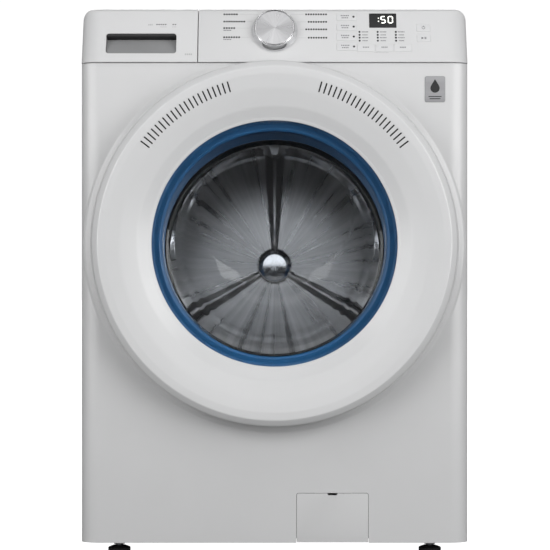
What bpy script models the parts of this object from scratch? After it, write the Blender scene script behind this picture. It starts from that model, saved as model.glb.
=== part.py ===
"""Front load washing machine, built as separate pieces around its real joints.

Frame: metres, +Z up, the front faces -Y and the origin is on the floor under the middle of the
machine. The drum, the tub and what they carry are drawn in their own frame, whose Y runs along
the tilted drum axis. The keys, knob and display are drawn in the frame of the sloping console
face, whose X runs across the machine, Z up the face and -Y out of it.
"""

import math

import bmesh
import bpy
from mathutils import Matrix, Vector

# ---- cabinet ----
WIDTH = 0.711
HEIGHT = 1.010
FRONT_Y = -0.345
BACK_Y = 0.380
REAR_PORT_Y = 0.4065
BODY_BOTTOM = 0.026
SHEET = 0.002
GAP = 0.0003
HALF_WIDTH = WIDTH / 2
CORNER_RADIUS = 0.025
FRONT_RETURN_Y = FRONT_Y + 0.030
TOP_PANEL_BOTTOM = 0.982
FOOT_X = 0.290
FOOT_Y = 0.285

# ---- console ----
CONSOLE_FRONT_Y = -0.350
CONSOLE_BACK_Y = -0.262
CONSOLE_BOTTOM = 0.9065
CONSOLE_TILT = math.radians(20)
CONSOLE_WALL = 0.003
CONSOLE_RADIUS = 0.020
DRAWER_SEAM_X = -0.141

# ---- door ----
DOOR_CENTRE_Z = 0.574
DOOR_CREST_Y = -0.4065
DOOR_RADIUS = 0.330
WINDOW_RADIUS = 0.223
PANEL_OPENING_RADIUS = 0.243
HINGE_X = -0.310
HINGE_Y = -0.385
STRIKE_X = 0.268

# ---- tub and drum, along the drum axis from the plane of the front panel ----
DRUM_TILT = math.radians(4.2)
DRUM_INNER_RADIUS = 0.245
DRUM_MOUTH = 0.122
DRUM_REAR = 0.520
TUB_INNER_RADIUS = 0.268
TUB_FRONT = 0.105
TUB_SPLIT = 0.330
TUB_REAR = 0.575
NECK_RADIUS = 0.2265
PULLEY_START = 0.648
PULLEY_WIDTH = 0.020
DRUM_PULLEY_RADIUS = 0.150
MOTOR_PULLEY_RADIUS = 0.0125
MOTOR_DROP = 0.385
SUSPENSION_X = 0.225

# ---- filter hatch ----
HATCH_LEFT = 0.0396
HATCH_RIGHT = 0.1726
HATCH_TOP = 0.1175
FILTER_X = 0.106
FILTER_Z = 0.080

FINE = 48
ROUND = 32
SMALL = 20

MATERIALS = {
    "silver_paint": ((0.56, 0.57, 0.59), 0.34, 0.55),
    "silver_plastic": ((0.58, 0.59, 0.60), 0.38, 0.35),
    "galvanised": ((0.50, 0.51, 0.52), 0.45, 0.90),
    "dark_plastic": ((0.035, 0.035, 0.038), 0.50, 0.0),
    "grey_plastic": ((0.42, 0.43, 0.44), 0.55, 0.0),
    "white_plastic": ((0.78, 0.78, 0.76), 0.45, 0.0),
    "stainless": ((0.55, 0.55, 0.56), 0.28, 1.0),
    "chrome": ((0.80, 0.80, 0.82), 0.10, 1.0),
    "cast_metal": ((0.40, 0.41, 0.42), 0.60, 0.80),
    "steel": ((0.45, 0.46, 0.47), 0.40, 0.90),
    "black_rubber": ((0.02, 0.02, 0.02), 0.80, 0.0),
    "blue_rubber": ((0.03, 0.13, 0.30), 0.50, 0.0),
    "cast_iron": ((0.16, 0.16, 0.16), 0.75, 0.60),
    "glass": ((0.75, 0.80, 0.84), 0.05, 0.0),
    "circuit_board": ((0.04, 0.16, 0.08), 0.55, 0.0),
    "key_plastic": ((0.60, 0.61, 0.62), 0.40, 0.20),
}


# ---------------------------------------------------------------- helpers
def clear_scene():
    """Start from an empty scene."""
    for item in list(bpy.data.objects):
        bpy.data.objects.remove(item, do_unlink=True)


def material(name):
    """The named Principled material, made on first use."""
    found = bpy.data.materials.get(name)
    if found:
        return found
    colour, roughness, metallic = MATERIALS[name]
    made = bpy.data.materials.new(name)
    made.use_nodes = True
    shader = made.node_tree.nodes["Principled BSDF"]
    shader.inputs["Base Color"].default_value = (*colour, 1.0)
    shader.inputs["Roughness"].default_value = roughness
    shader.inputs["Metallic"].default_value = metallic
    made.diffuse_color = (*colour, 1.0)
    return made


def solid(name, mesh, finish, parent=None):
    """An object from a bmesh, closed, facing out and shaded smooth between sharp edges."""
    bmesh.ops.recalc_face_normals(mesh, faces=mesh.faces)
    data = bpy.data.meshes.new(name)
    mesh.to_mesh(data)
    mesh.free()
    data.materials.append(material(finish))
    made = bpy.data.objects.new(name, data)
    bpy.context.scene.collection.objects.link(made)
    shade(made)
    made.parent = parent
    return made


def shade(piece):
    """Smooth shading that keeps edges over 35 degrees sharp."""
    piece.data.shade_smooth()
    piece.data.set_sharp_from_angle(angle=math.radians(35))


def frame_at(name, place, turn_x=0.0):
    """An empty that holds a joint or a local frame, turned about X."""
    empty = bpy.data.objects.new(name, None)
    empty.location = place
    empty.rotation_euler = (turn_x, 0.0, 0.0)
    empty.empty_display_size = 0.05
    bpy.context.scene.collection.objects.link(empty)
    bpy.context.view_layer.update()
    return empty


def hang_on(empty, *pieces):
    """Parent pieces to an empty without moving them."""
    bpy.context.view_layer.update()
    for piece in pieces:
        place = piece.matrix_world.copy()
        piece.parent = empty
        piece.matrix_parent_inverse = empty.matrix_world.inverted()
        piece.matrix_world = place


def block(low, high, bevel=0.0):
    """A box between two corners, with its edges rounded if bevel is given."""
    mesh = bmesh.new()
    size = Vector(high) - Vector(low)
    middle = (Vector(high) + Vector(low)) / 2
    place = Matrix.Translation(middle) @ Matrix.Diagonal((*size, 1.0))
    bmesh.ops.create_cube(mesh, size=1.0, matrix=place)
    if bevel:
        bmesh.ops.bevel(mesh, geom=mesh.edges[:], offset=bevel, segments=1, affect="EDGES")
    return mesh


def turned(profile, segments, axis="Y", centre=(0.0, 0.0, 0.0)):
    """Turn a closed outline of (radius, along) points about an axis."""
    mesh = bmesh.new()
    rings = []
    for radius, along in profile:
        steps = 1 if radius == 0.0 else segments
        ring = []
        for step in range(steps):
            angle = 2 * math.pi * step / segments
            across = radius * math.sin(angle)
            up = radius * math.cos(angle)
            point = (across, along, up) if axis == "Y" else (across, up, along)
            ring.append(mesh.verts.new(Vector(point) + Vector(centre)))
        rings.append(ring)
    skin_rings(mesh, rings, segments)
    return mesh


def skin_rings(mesh, rings, segments):
    """Faces between each ring and the next, and from the last back to the first."""
    for index, ring in enumerate(rings):
        after = rings[(index + 1) % len(rings)]
        if len(ring) == 1 and len(after) == 1:
            continue
        for step in range(segments):
            turn = (step + 1) % segments
            if len(ring) == 1:
                corners = [ring[0], after[step], after[turn]]
            elif len(after) == 1:
                corners = [ring[step], after[0], ring[turn]]
            else:
                corners = [ring[step], after[step], after[turn], ring[turn]]
            mesh.faces.new(corners)


def extruded(outline, plane, low, high):
    """A closed flat outline in plane XY, XZ or YZ, drawn out from low to high."""
    mesh = bmesh.new()
    places = {
        "XY": lambda first, second, level: (first, second, level),
        "XZ": lambda first, second, level: (first, level, second),
        "YZ": lambda first, second, level: (level, first, second),
    }
    place = places[plane]
    bottom = [mesh.verts.new(place(a, b, low)) for a, b in outline]
    top = [mesh.verts.new(place(a, b, high)) for a, b in outline]
    mesh.faces.new(bottom)
    mesh.faces.new(top[::-1])
    count = len(outline)
    for index in range(count):
        after = (index + 1) % count
        mesh.faces.new((bottom[index], top[index], top[after], bottom[after]))
    return mesh


def arc(centre, radius, start, end, steps):
    """Points along an arc, angles in degrees."""
    points = []
    for step in range(steps + 1):
        angle = math.radians(start + (end - start) * step / steps)
        across = centre[0] + radius * math.cos(angle)
        up = centre[1] + radius * math.sin(angle)
        points.append((across, up))
    return points


def combine(piece, tools, operation="DIFFERENCE"):
    """Cut tools from a piece, or join them to it, and keep the result as its mesh."""
    for tool in tools:
        step = piece.modifiers.new("combine", "BOOLEAN")
        step.object = tool
        step.operation = operation
        step.solver = "EXACT"
        tool.hide_render = True
        tool.display_type = "WIRE"
    bpy.context.view_layer.update()
    graph = bpy.context.evaluated_depsgraph_get()
    result = bpy.data.meshes.new_from_object(piece.evaluated_get(graph))
    result.name = piece.name
    piece.modifiers.clear()
    piece.data = result
    shade(piece)
    for tool in tools:
        bpy.data.objects.remove(tool, do_unlink=True)


def tool_block(low, high):
    """A box used as a cutter or as something to join."""
    return solid("tool", block(low, high), "steel")


def tool_rod(centre, radius, low, high, axis="Y", segments=SMALL):
    """A rod used as a cutter or as something to join, centred off its axis at centre."""
    outline = [(0.0, low), (radius, low), (radius, high), (0.0, high)]
    return solid("tool", turned(outline, segments, axis, centre), "steel")


# ---------------------------------------------------------------- cabinet
def make_side_panels():
    """Flat sides, each notched at the top front corner where the console's end sits."""
    outline = [
        (FRONT_RETURN_Y + GAP, 0.030),
        (BACK_Y - SHEET - GAP, 0.030),
        (BACK_Y - SHEET - GAP, TOP_PANEL_BOTTOM - GAP),
        (CONSOLE_BACK_Y + GAP, TOP_PANEL_BOTTOM - GAP),
        (CONSOLE_BACK_Y + GAP, CONSOLE_BOTTOM - GAP),
        (FRONT_RETURN_Y + GAP, CONSOLE_BOTTOM - GAP),
    ]
    outer = HALF_WIDTH
    left = solid("side_panel_left", extruded(outline, "YZ", -outer, -outer + SHEET),
                 "silver_paint")
    right = solid("side_panel_right", extruded(outline, "YZ", outer - SHEET, outer),
                  "silver_paint")
    return left, right


def make_rear_panel():
    """The flat rear sheet, with a shallow pressed field behind the pulley."""
    sheet = solid("rear_panel",
                  block((-HALF_WIDTH, BACK_Y - SHEET, 0.030),
                        (HALF_WIDTH, BACK_Y, TOP_PANEL_BOTTOM - GAP)),
                  "galvanised")
    return sheet


def make_top_panel():
    """The lid: a pressed tray turned over, with its two long edges rounded."""
    outer = block((-HALF_WIDTH, CONSOLE_BACK_Y + GAP, TOP_PANEL_BOTTOM),
                  (HALF_WIDTH, BACK_Y, HEIGHT))
    round_top_sides(outer, HEIGHT, HALF_WIDTH, CONSOLE_RADIUS)
    lid = solid("top_panel", outer, "silver_paint")
    inner = block((-HALF_WIDTH + SHEET, CONSOLE_BACK_Y + SHEET, TOP_PANEL_BOTTOM - 0.01),
                  (HALF_WIDTH - SHEET, BACK_Y - SHEET, HEIGHT - SHEET))
    round_top_sides(inner, HEIGHT - SHEET, HALF_WIDTH - SHEET, CONSOLE_RADIUS - SHEET)
    combine(lid, [solid("tool", inner, "steel")])
    return lid


def round_top_sides(mesh, top, side, radius):
    """Round the two edges of a box that run front to back along its top."""
    edges = []
    for edge in mesh.edges:
        ends = [vert.co for vert in edge.verts]
        on_top = all(abs(end.z - top) < 1e-6 for end in ends)
        on_side = abs(ends[0].x - ends[1].x) < 1e-6 and abs(abs(ends[0].x) - side) < 1e-6
        if on_top and on_side:
            edges.append(edge)
    bmesh.ops.bevel(mesh, geom=edges, offset=radius, segments=5, profile=0.5, affect="EDGES")


def make_base_frame():
    """The base plate, with a boss over each foot and a hole for each foot's stem."""
    side = HALF_WIDTH - 0.003
    front = FRONT_Y + 0.003
    corner = CORNER_RADIUS
    outline = [
        (-side, BACK_Y - 0.003), (-side, front + corner), (-side + corner, front),
        (side - corner, front), (side, front + corner), (side, BACK_Y - 0.003),
    ]
    base = solid("base_frame", extruded(outline, "XY", 0.034, 0.042), "dark_plastic")
    bosses = []
    stem_holes = []
    for side in (-1, 1):
        for end in (-1, 1):
            centre = (side * FOOT_X, end * FOOT_Y, 0.0)
            bosses.append(tool_block((centre[0] - 0.028, centre[1] - 0.028, BODY_BOTTOM),
                                     (centre[0] + 0.028, centre[1] + 0.028, 0.038)))
            stem_holes.append(tool_rod(centre, 0.0066, 0.0, 0.08, "Z", 12))
    combine(base, bosses, "UNION")
    combine(base, stem_holes)
    return base


def make_feet():
    """Four levelling feet, each a rubber-shod pad on a threaded stem."""
    outline = [
        (0.0, 0.0), (0.019, 0.0), (0.021, 0.003), (0.021, 0.009),
        (0.012, 0.0125), (0.006, 0.0125), (0.006, 0.058), (0.0, 0.058),
    ]
    for side, across in (("left", -1), ("right", 1)):
        for end, along in (("front", -1), ("rear", 1)):
            centre = (across * FOOT_X, along * FOOT_Y, 0.0)
            foot = solid(f"foot_{end}_{side}", turned(outline, 14, "Z", centre), "black_rubber")
            hang_on(frame_at(f"foot_{end}_{side}_axis", centre), foot)


def make_front_panel():
    """The pressed front: rounded vertical corners, the door opening, the hatch notch and the
    slot that the door's strike enters."""
    radius = CORNER_RADIUS
    outer = [(-HALF_WIDTH, FRONT_RETURN_Y)]
    outer += arc((-HALF_WIDTH + radius, FRONT_Y + radius), radius, 180, 270, 5)
    outer += arc((HALF_WIDTH - radius, FRONT_Y + radius), radius, 270, 360, 5)
    outer += [(HALF_WIDTH, FRONT_RETURN_Y)]
    inner = [(-HALF_WIDTH + SHEET, FRONT_RETURN_Y)]
    inner += arc((-HALF_WIDTH + radius, FRONT_Y + radius), radius - SHEET, 180, 270, 5)
    inner += arc((HALF_WIDTH - radius, FRONT_Y + radius), radius - SHEET, 270, 360, 5)
    inner += [(HALF_WIDTH - SHEET, FRONT_RETURN_Y)]
    outline = outer + inner[::-1]
    panel = solid("front_panel", extruded(outline, "XY", BODY_BOTTOM, CONSOLE_BOTTOM - GAP),
                  "silver_paint")
    door_hole = tool_rod((0.0, 0.0, DOOR_CENTRE_Z), PANEL_OPENING_RADIUS,
                         FRONT_Y - 0.01, FRONT_Y + 0.01, "Y", FINE)
    hatch_hole = tool_block((HATCH_LEFT, FRONT_Y - 0.01, BODY_BOTTOM - 0.01),
                            (HATCH_RIGHT, FRONT_Y + 0.01, HATCH_TOP))
    strike_slot = tool_block((STRIKE_X - 0.010, FRONT_Y - 0.01, DOOR_CENTRE_Z - 0.016),
                             (STRIKE_X + 0.012, FRONT_Y + 0.01, DOOR_CENTRE_Z + 0.016))
    combine(panel, [door_hole, hatch_hole, strike_slot])
    return panel


def make_filter_hatch():
    """The access flap low on the front, hinged along its bottom edge."""
    clearance = 0.0008
    flap = solid("filter_hatch",
                 block((HATCH_LEFT + clearance, FRONT_Y, BODY_BOTTOM + 0.001),
                       (HATCH_RIGHT - clearance, FRONT_Y + 0.003, HATCH_TOP - clearance)),
                 "silver_paint")
    middle = (HATCH_LEFT + HATCH_RIGHT) / 2
    finger_cut = tool_block((middle - 0.009, FRONT_Y - 0.01, HATCH_TOP - 0.0035),
                            (middle + 0.009, FRONT_Y + 0.01, HATCH_TOP + 0.01))
    combine(flap, [finger_cut])
    hang_on(frame_at("hatch_hinge_axis", (middle, FRONT_Y, BODY_BOTTOM + 0.002)), flap)


def make_drain_pump():
    """The pump behind the hatch, and the filter that unscrews from its front."""
    body = [
        (0.0, -0.2847), (0.036, -0.2847), (0.036, -0.225), (0.030, -0.215),
        (0.030, -0.150), (0.0, -0.150),
    ]
    place = (FILTER_X, 0.0, FILTER_Z)
    pump = solid("drain_pump", turned(body, SMALL, "Y", place), "white_plastic")
    foot = tool_block((FILTER_X - 0.030, -0.275, 0.0423), (FILTER_X + 0.030, -0.160, 0.060))
    outlet = tool_rod((FILTER_X + 0.030, -0.235, 0.0), 0.012, 0.080, 0.140, "Z", 12)
    combine(pump, [foot, outlet], "UNION")
    cap = [
        (0.0, -0.300), (0.030, -0.300), (0.031, -0.298), (0.031, -0.2855), (0.0, -0.2855),
    ]
    pump_filter = solid("pump_filter", turned(cap, SMALL, "Y", place), "grey_plastic")
    grip = tool_block((FILTER_X - 0.026, -0.313, FILTER_Z - 0.004),
                      (FILTER_X + 0.026, -0.299, FILTER_Z + 0.004))
    combine(pump_filter, [grip], "UNION")
    hang_on(frame_at("filter_turn_axis", (FILTER_X, -0.2855, FILTER_Z)), pump_filter)


def make_inlet_and_gland():
    """The two-port water valve and the mains cord's gland, both through the rear panel."""
    valve = solid("water_inlet_valve",
                  block((0.150, 0.310, 0.900), (0.250, BACK_Y - SHEET - GAP, 0.955)),
                  "white_plastic")
    port_outline = [
        (0.0, 0.340), (0.013, 0.340), (0.013, REAR_PORT_Y), (0.009, REAR_PORT_Y), (0.009, 0.385),
        (0.0, 0.385),
    ]
    ports = []
    for across in (0.175, 0.225):
        port = turned(port_outline, 16, "Y", (across, 0.0, 0.928))
        ports.append(solid("tool", port, "steel"))
    combine(valve, ports, "UNION")
    gland_outline = [
        (0.0055, 0.370), (0.014, 0.370), (0.014, BACK_Y + GAP), (0.017, BACK_Y + GAP),
        (0.017, 0.384), (0.010, 0.394), (0.0055, 0.394),
    ]
    gland = solid("power_cord_gland", turned(gland_outline, 16, "Y", (-0.250, 0.0, 0.900)),
                  "black_rubber")
    return valve, gland


def cut_rear_panel(rear_panel):
    """Holes in the rear panel for the water ports and for the cord's gland."""
    holes = [tool_rod((across, 0.0, 0.928), 0.0145, 0.36, 0.40) for across in (0.175, 0.225)]
    holes.append(tool_rod((-0.250, 0.0, 0.900), 0.0145, 0.36, 0.40))
    combine(rear_panel, holes)


# ---------------------------------------------------------------- console
def console_profile(inset, back):
    """The console's side outline, moved in by inset from its front, top and bottom."""
    bottom = CONSOLE_BOTTOM + inset
    top = HEIGHT - inset
    slope = math.tan(CONSOLE_TILT)
    shift = inset / math.cos(CONSOLE_TILT)
    front_bottom = CONSOLE_FRONT_Y + shift + (bottom - CONSOLE_BOTTOM) * slope
    front_top = CONSOLE_FRONT_Y + shift + (top - CONSOLE_BOTTOM) * slope
    return [(front_bottom, bottom), (back, bottom), (back, top), (front_top, top)]


def console_block(start, end, round_end, inset=0.0, back=CONSOLE_BACK_Y):
    """A length of console from x = start to end, rounded on top and at the end round_end."""
    outline = console_profile(inset, back)
    mesh = extruded(outline, "YZ", start, end)
    front_bottom, front_top = Vector(outline[0]), Vector(outline[3])
    edges = []
    for edge in mesh.edges:
        ends = [vert.co for vert in edge.verts]
        spots = [Vector((end_point.y, end_point.z)) for end_point in ends]
        at_end = all(abs(end_point.x - round_end) < 1e-6 for end_point in ends)
        crest = all((spot - front_top).length < 1e-6 for spot in spots)
        upright = {(spot - front_bottom).length < 1e-6 for spot in spots} == {True, False} and any(
            (spot - front_top).length < 1e-6 for spot in spots)
        along_top = all(abs(end_point.z - outline[2][1]) < 1e-6 for end_point in ends)
        if crest or (at_end and (upright or along_top)):
            edges.append(edge)
    bmesh.ops.bevel(mesh, geom=edges, offset=CONSOLE_RADIUS - inset, segments=4, profile=0.5,
                    affect="EDGES")
    return mesh


# Each key: name, x and height up the face of its middle, width and height.
KEY_HEIGHT = 0.0155
KEYS = [(f"option_key_{index + 1}", 0.1328, 0.0935 - 0.0206 * index, 0.037)
        for index in range(4)]
KEYS += [(f"setting_key_{index + 1}", 0.1678 + 0.034 * index, 0.0294, 0.032)
         for index in range(3)]
KEYS += [("power_key", 0.2745, 0.0706, 0.025), ("start_key", 0.2745, 0.0493, 0.025)]
DISPLAY_X = 0.1998
DISPLAY_UP = 0.08565
DISPLAY_SIZE = (0.050, 0.0295)
KNOB_UP = 0.0640


def face_box(across, up, width, height, near, far, grow=0.0):
    """A box in the console face's frame, from depth near to depth far behind the face."""
    half_width = width / 2 + grow
    half_height = height / 2 + grow
    return ((across - half_width, near, up - half_height),
            (across + half_width, far, up + half_height))


def make_console(face):
    """The console shell right of the drawer, with holes for the keys, display and knob."""
    outer = console_block(DRAWER_SEAM_X + 0.0005, HALF_WIDTH, HALF_WIDTH)
    shell = solid("console_fascia", outer, "silver_plastic")
    inner = console_block(DRAWER_SEAM_X + 0.0005 + CONSOLE_WALL, HALF_WIDTH - CONSOLE_WALL,
                          HALF_WIDTH - CONSOLE_WALL, CONSOLE_WALL, CONSOLE_BACK_Y + 0.02)
    combine(shell, [solid("tool", inner, "steel")])
    holes = []
    for _, across, up, width in KEYS:
        low, high = face_box(across, up, width, KEY_HEIGHT, -0.01, 0.01, 0.0004)
        holes.append(tool_block(low, high))
    low, high = face_box(DISPLAY_X, DISPLAY_UP, *DISPLAY_SIZE, -0.01, 0.01, 0.0003)
    holes.append(tool_block(low, high))
    holes.append(tool_rod((0.0, 0.0, KNOB_UP), 0.0063, -0.02, 0.02, "Y", 16))
    for hole in holes:
        hole.matrix_world = face.matrix_world
    combine(shell, holes)
    return shell


def make_keys(face):
    """Nine keys that press straight into the sloping face."""
    for name, across, up, width in KEYS:
        low, high = face_box(across, up, width, KEY_HEIGHT, -0.0006, 0.0045)
        key = solid(name, block(low, high, 0.0004), "key_plastic", face)
        axis = frame_at(f"{name}_axis", face.matrix_world @ Vector((across, 0.0, up)))
        hang_on(axis, key)


def make_display(face):
    """The dark window over the digits, and the circuit board behind the keys."""
    low, high = face_box(DISPLAY_X, DISPLAY_UP, *DISPLAY_SIZE, -0.0003, 0.004)
    window = solid("display_window", block(low, high), "dark_plastic", face)
    board = solid("control_board",
                  block((0.105, 0.0065, 0.018), (0.300, 0.0085, 0.102)),
                  "circuit_board", face)
    return window, board


def make_knob(face):
    """The cycle selector: a flared metal body on a short shaft, with a spun cap."""
    body_outline = [
        (0.0, 0.012), (0.006, 0.012), (0.006, -0.0095), (0.0345, -0.0095), (0.0390, -0.0006),
        (0.0415, -0.0006), (0.0425, -0.002), (0.0418, -0.0045), (0.0375, -0.0112),
        (0.0365, -0.0125), (0.0, -0.0125),
    ]
    cap_outline = [
        (0.0, -0.0128), (0.0352, -0.0128), (0.0350, -0.0138), (0.0340, -0.0144), (0.0, -0.0148),
    ]
    place = (0.0, 0.0, KNOB_UP)
    body = solid("knob_body", turned(body_outline, 32, "Y", place), "chrome", face)
    cap = solid("knob_cap", turned(cap_outline, 32, "Y", place), "stainless", face)
    hang_on(frame_at("knob_axis", face.matrix_world @ Vector(place), -CONSOLE_TILT), body, cap)


# ---------------------------------------------------------------- dispenser drawer
TRAY_LEFT = -0.335
TRAY_RIGHT = -0.152
TRAY_FRONT = -0.300
TRAY_BACK = -0.030
TRAY_BOTTOM = 0.922
TRAY_TOP = 0.982


def make_drawer(face):
    """The drawer's front with its finger pocket, and the tray with three compartments."""
    outer = console_block(-HALF_WIDTH, DRAWER_SEAM_X - 0.0005, -HALF_WIDTH)
    front = solid("drawer_front", outer, "silver_plastic")
    inner = console_block(-HALF_WIDTH + CONSOLE_WALL, DRAWER_SEAM_X - 0.0005 - CONSOLE_WALL,
                          -HALF_WIDTH + CONSOLE_WALL, CONSOLE_WALL, CONSOLE_BACK_Y + 0.02)
    hollow = solid("tool", inner, "steel")
    pocket_middle = (-0.310 - 0.1805) / 2
    low, high = face_box(pocket_middle, 0.0385, 0.1295, 0.041, -0.02, 0.020, CONSOLE_WALL)
    pocket_wall = tool_block(low, high)
    pocket_wall.matrix_world = face.matrix_world
    combine(hollow, [pocket_wall])
    combine(front, [hollow])
    low, high = face_box(pocket_middle, 0.0385, 0.1295, 0.041, -0.02, 0.017)
    pocket = tool_block(low, high)
    pocket.matrix_world = face.matrix_world
    combine(front, [pocket])

    tray = solid("drawer_tray",
                 block((TRAY_LEFT, TRAY_FRONT, TRAY_BOTTOM), (TRAY_RIGHT, TRAY_BACK, TRAY_TOP)),
                 "white_plastic")
    wall = 0.003
    floor = TRAY_BOTTOM + wall
    divide_x = -0.235
    divide_y = -0.170
    rooms = [
        ((TRAY_LEFT + wall, TRAY_FRONT + wall, floor), (divide_x - wall, TRAY_BACK - wall, 1.1)),
        ((divide_x, TRAY_FRONT + wall, floor), (TRAY_RIGHT - wall, divide_y - wall, 1.1)),
        ((divide_x, divide_y, floor), (TRAY_RIGHT - wall, TRAY_BACK - wall, 1.1)),
    ]
    combine(tray, [tool_block(low, high) for low, high in rooms])
    hang_on(frame_at("drawer_slide_axis", (-0.245, CONSOLE_BACK_Y, CONSOLE_BOTTOM)), front, tray)


def make_dispenser_housing():
    """The plastic box that the tray slides in, open at the front."""
    side = 0.004
    wall = 0.0025
    outer_low = (TRAY_LEFT - side - wall, -0.2585, TRAY_BOTTOM - side - wall)
    outer_high = (TRAY_RIGHT + side + wall, TRAY_BACK + 0.030 + wall, TRAY_TOP + 0.014)
    housing = solid("dispenser_housing", block(outer_low, outer_high), "white_plastic")
    hollow = tool_block((TRAY_LEFT - side, -0.30, TRAY_BOTTOM - side),
                        (TRAY_RIGHT + side, TRAY_BACK + 0.030, outer_high[2] - wall))
    combine(housing, [hollow])
    return housing


# ---------------------------------------------------------------- tub
def make_tub(axis):
    """The two halves of the outer tub, which meet at a flange around the drum."""
    inner = TUB_INNER_RADIUS
    wall = 0.004
    front_outline = [
        (NECK_RADIUS, 0.050), (NECK_RADIUS + wall, 0.050), (NECK_RADIUS + wall, TUB_FRONT),
        (inner + wall, TUB_FRONT), (inner + wall, TUB_SPLIT - 0.010),
        (inner + 0.014, TUB_SPLIT - 0.008), (inner + 0.014, TUB_SPLIT),
        (inner, TUB_SPLIT), (inner, TUB_FRONT + wall), (NECK_RADIUS, TUB_FRONT + wall),
    ]
    rear_outline = [
        (inner, TUB_SPLIT + GAP), (inner + 0.014, TUB_SPLIT + GAP),
        (inner + 0.014, TUB_SPLIT + 0.008), (inner + wall, TUB_SPLIT + 0.010),
        (inner + wall, TUB_REAR + wall), (0.050, TUB_REAR + 0.014), (0.045, TUB_REAR + 0.045),
        (0.030, TUB_REAR + 0.045), (0.030, TUB_REAR), (inner, TUB_REAR),
    ]
    front = solid("outer_tub_front", turned(front_outline, ROUND), "grey_plastic", axis)
    rear = solid("outer_tub_rear", turned(rear_outline, ROUND), "grey_plastic", axis)
    return front, rear


def make_counterweight(axis):
    """The cast iron ring bolted around the tub's neck."""
    outline = [
        (0.236, 0.064), (0.268, 0.064), (0.276, 0.070), (0.276, TUB_FRONT - GAP),
        (0.236, TUB_FRONT - GAP),
    ]
    return solid("front_counterweight", turned(outline, ROUND), "cast_iron", axis)


def make_gasket():
    """The rubber boot between the upright front panel and the tilted tub's neck."""
    section = [
        (0.2415, -0.005, 0.0), (0.2415, 0.009, 0.0), (0.236, 0.013, 0.0), (0.236, 0.028, 0.3),
        (0.2260, 0.044, 0.8), (0.2260, 0.072, 1.0), (0.206, 0.078, 1.0), (0.206, 0.072, 1.0),
        (0.2215, 0.066, 1.0), (0.2215, 0.044, 0.8), (0.231, 0.026, 0.3), (0.231, 0.014, 0.0),
        (0.207, 0.006, 0.0), (0.207, -0.005, 0.0),
    ]
    mesh = bmesh.new()
    rings = []
    for radius, along, lean in section:
        turn = Matrix.Rotation(-DRUM_TILT * lean, 4, "X")
        ring = []
        for step in range(ROUND):
            angle = 2 * math.pi * step / ROUND
            point = Vector((radius * math.sin(angle), along, radius * math.cos(angle)))
            ring.append(mesh.verts.new(turn @ point + Vector((0.0, FRONT_Y, DOOR_CENTRE_Z))))
        rings.append(ring)
    skin_rings(mesh, rings, ROUND)
    return solid("boot_gasket", mesh, "blue_rubber")


def make_shaft_bearing(axis):
    """The rear bearing, pressed into the tub's hub around the drum's shaft."""
    outline = [
        (0.0153, 0.594), (0.0297, 0.594), (0.0297, 0.618), (0.0153, 0.618),
    ]
    return solid("shaft_bearing", turned(outline, SMALL), "steel", axis)


def make_motor(axis):
    """The drive motor under the tub, and its pulley on the shaft's end."""
    start = 0.430
    end = 0.620
    centre = (0.0, 0.0, -MOTOR_DROP)
    outline = [
        (0.0, start), (0.045, start), (0.060, start + 0.015), (0.060, end - 0.015),
        (0.045, end), (0.0, end),
    ]
    motor = solid("drive_motor", turned(outline, SMALL, "Y", centre), "cast_metal")
    top = -(TUB_INNER_RADIUS + 0.004 + 0.001)
    lug = tool_block((-0.020, start + 0.030, -MOTOR_DROP), (0.020, end - 0.050, top))
    combine(motor, [lug], "UNION")
    motor.parent = axis
    radius = MOTOR_PULLEY_RADIUS
    pulley_outline = [
        (0.0, end + GAP), (0.006, end + GAP), (0.006, PULLEY_START - 0.003),
        (radius + 0.004, PULLEY_START - 0.003), (radius + 0.004, PULLEY_START - 0.001),
        (radius, PULLEY_START - 0.001), (radius, PULLEY_START + PULLEY_WIDTH + 0.001),
        (0.0, PULLEY_START + PULLEY_WIDTH + 0.001),
    ]
    pulley = solid("motor_pulley", turned(pulley_outline, SMALL, "Y", centre), "steel", axis)
    place = axis.matrix_world @ Vector((0.0, PULLEY_START, -MOTOR_DROP))
    hang_on(frame_at("motor_spin_axis", place, -DRUM_TILT), pulley)


def belt_outline(offset):
    """The outline of a band laid around both pulleys, offset out from their rims."""
    large = DRUM_PULLEY_RADIUS + offset
    small = MOTOR_PULLEY_RADIUS + offset
    lean = math.degrees(math.asin((large - small) / MOTOR_DROP))
    around_drum = arc((0.0, 0.0), large, -lean, 180 + lean, 28)
    around_motor = arc((0.0, -MOTOR_DROP), small, 180 + lean, 360 - lean, 6)
    return around_drum + around_motor


def make_belt(axis):
    """The ribbed belt from the motor's pulley to the drum's."""
    belt = solid("drive_belt",
                 extruded(belt_outline(0.0030), "XZ", PULLEY_START, PULLEY_START + PULLEY_WIDTH),
                 "black_rubber")
    inside = solid("tool",
                   extruded(belt_outline(0.0006), "XZ", PULLEY_START - 0.01,
                            PULLEY_START + PULLEY_WIDTH + 0.01), "steel")
    combine(belt, [inside])
    belt.parent = axis
    return belt


def coil(centre, radius, wire, low, high, turns):
    """A coil spring: a square-ended helix of wire about a vertical line."""
    mesh = bmesh.new()
    steps = turns * 8
    rings = []
    for step in range(steps + 1):
        part = step / steps
        angle = 2 * math.pi * turns * part
        out = Vector((math.cos(angle), math.sin(angle), 0.0))
        middle = Vector(centre) + out * radius + Vector((0.0, 0.0, low + (high - low) * part))
        corners = []
        for side in range(4):
            around = math.pi / 4 + side * math.pi / 2
            reach = out * (wire * math.cos(around)) + Vector((0, 0, wire * math.sin(around)))
            corners.append(mesh.verts.new(middle + reach))
        rings.append(corners)
    for ring, after in zip(rings, rings[1:]):
        for side in range(4):
            turn = (side + 1) % 4
            mesh.faces.new((ring[side], ring[turn], after[turn], after[side]))
    mesh.faces.new(rings[0])
    mesh.faces.new(rings[-1][::-1])
    return mesh


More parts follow.
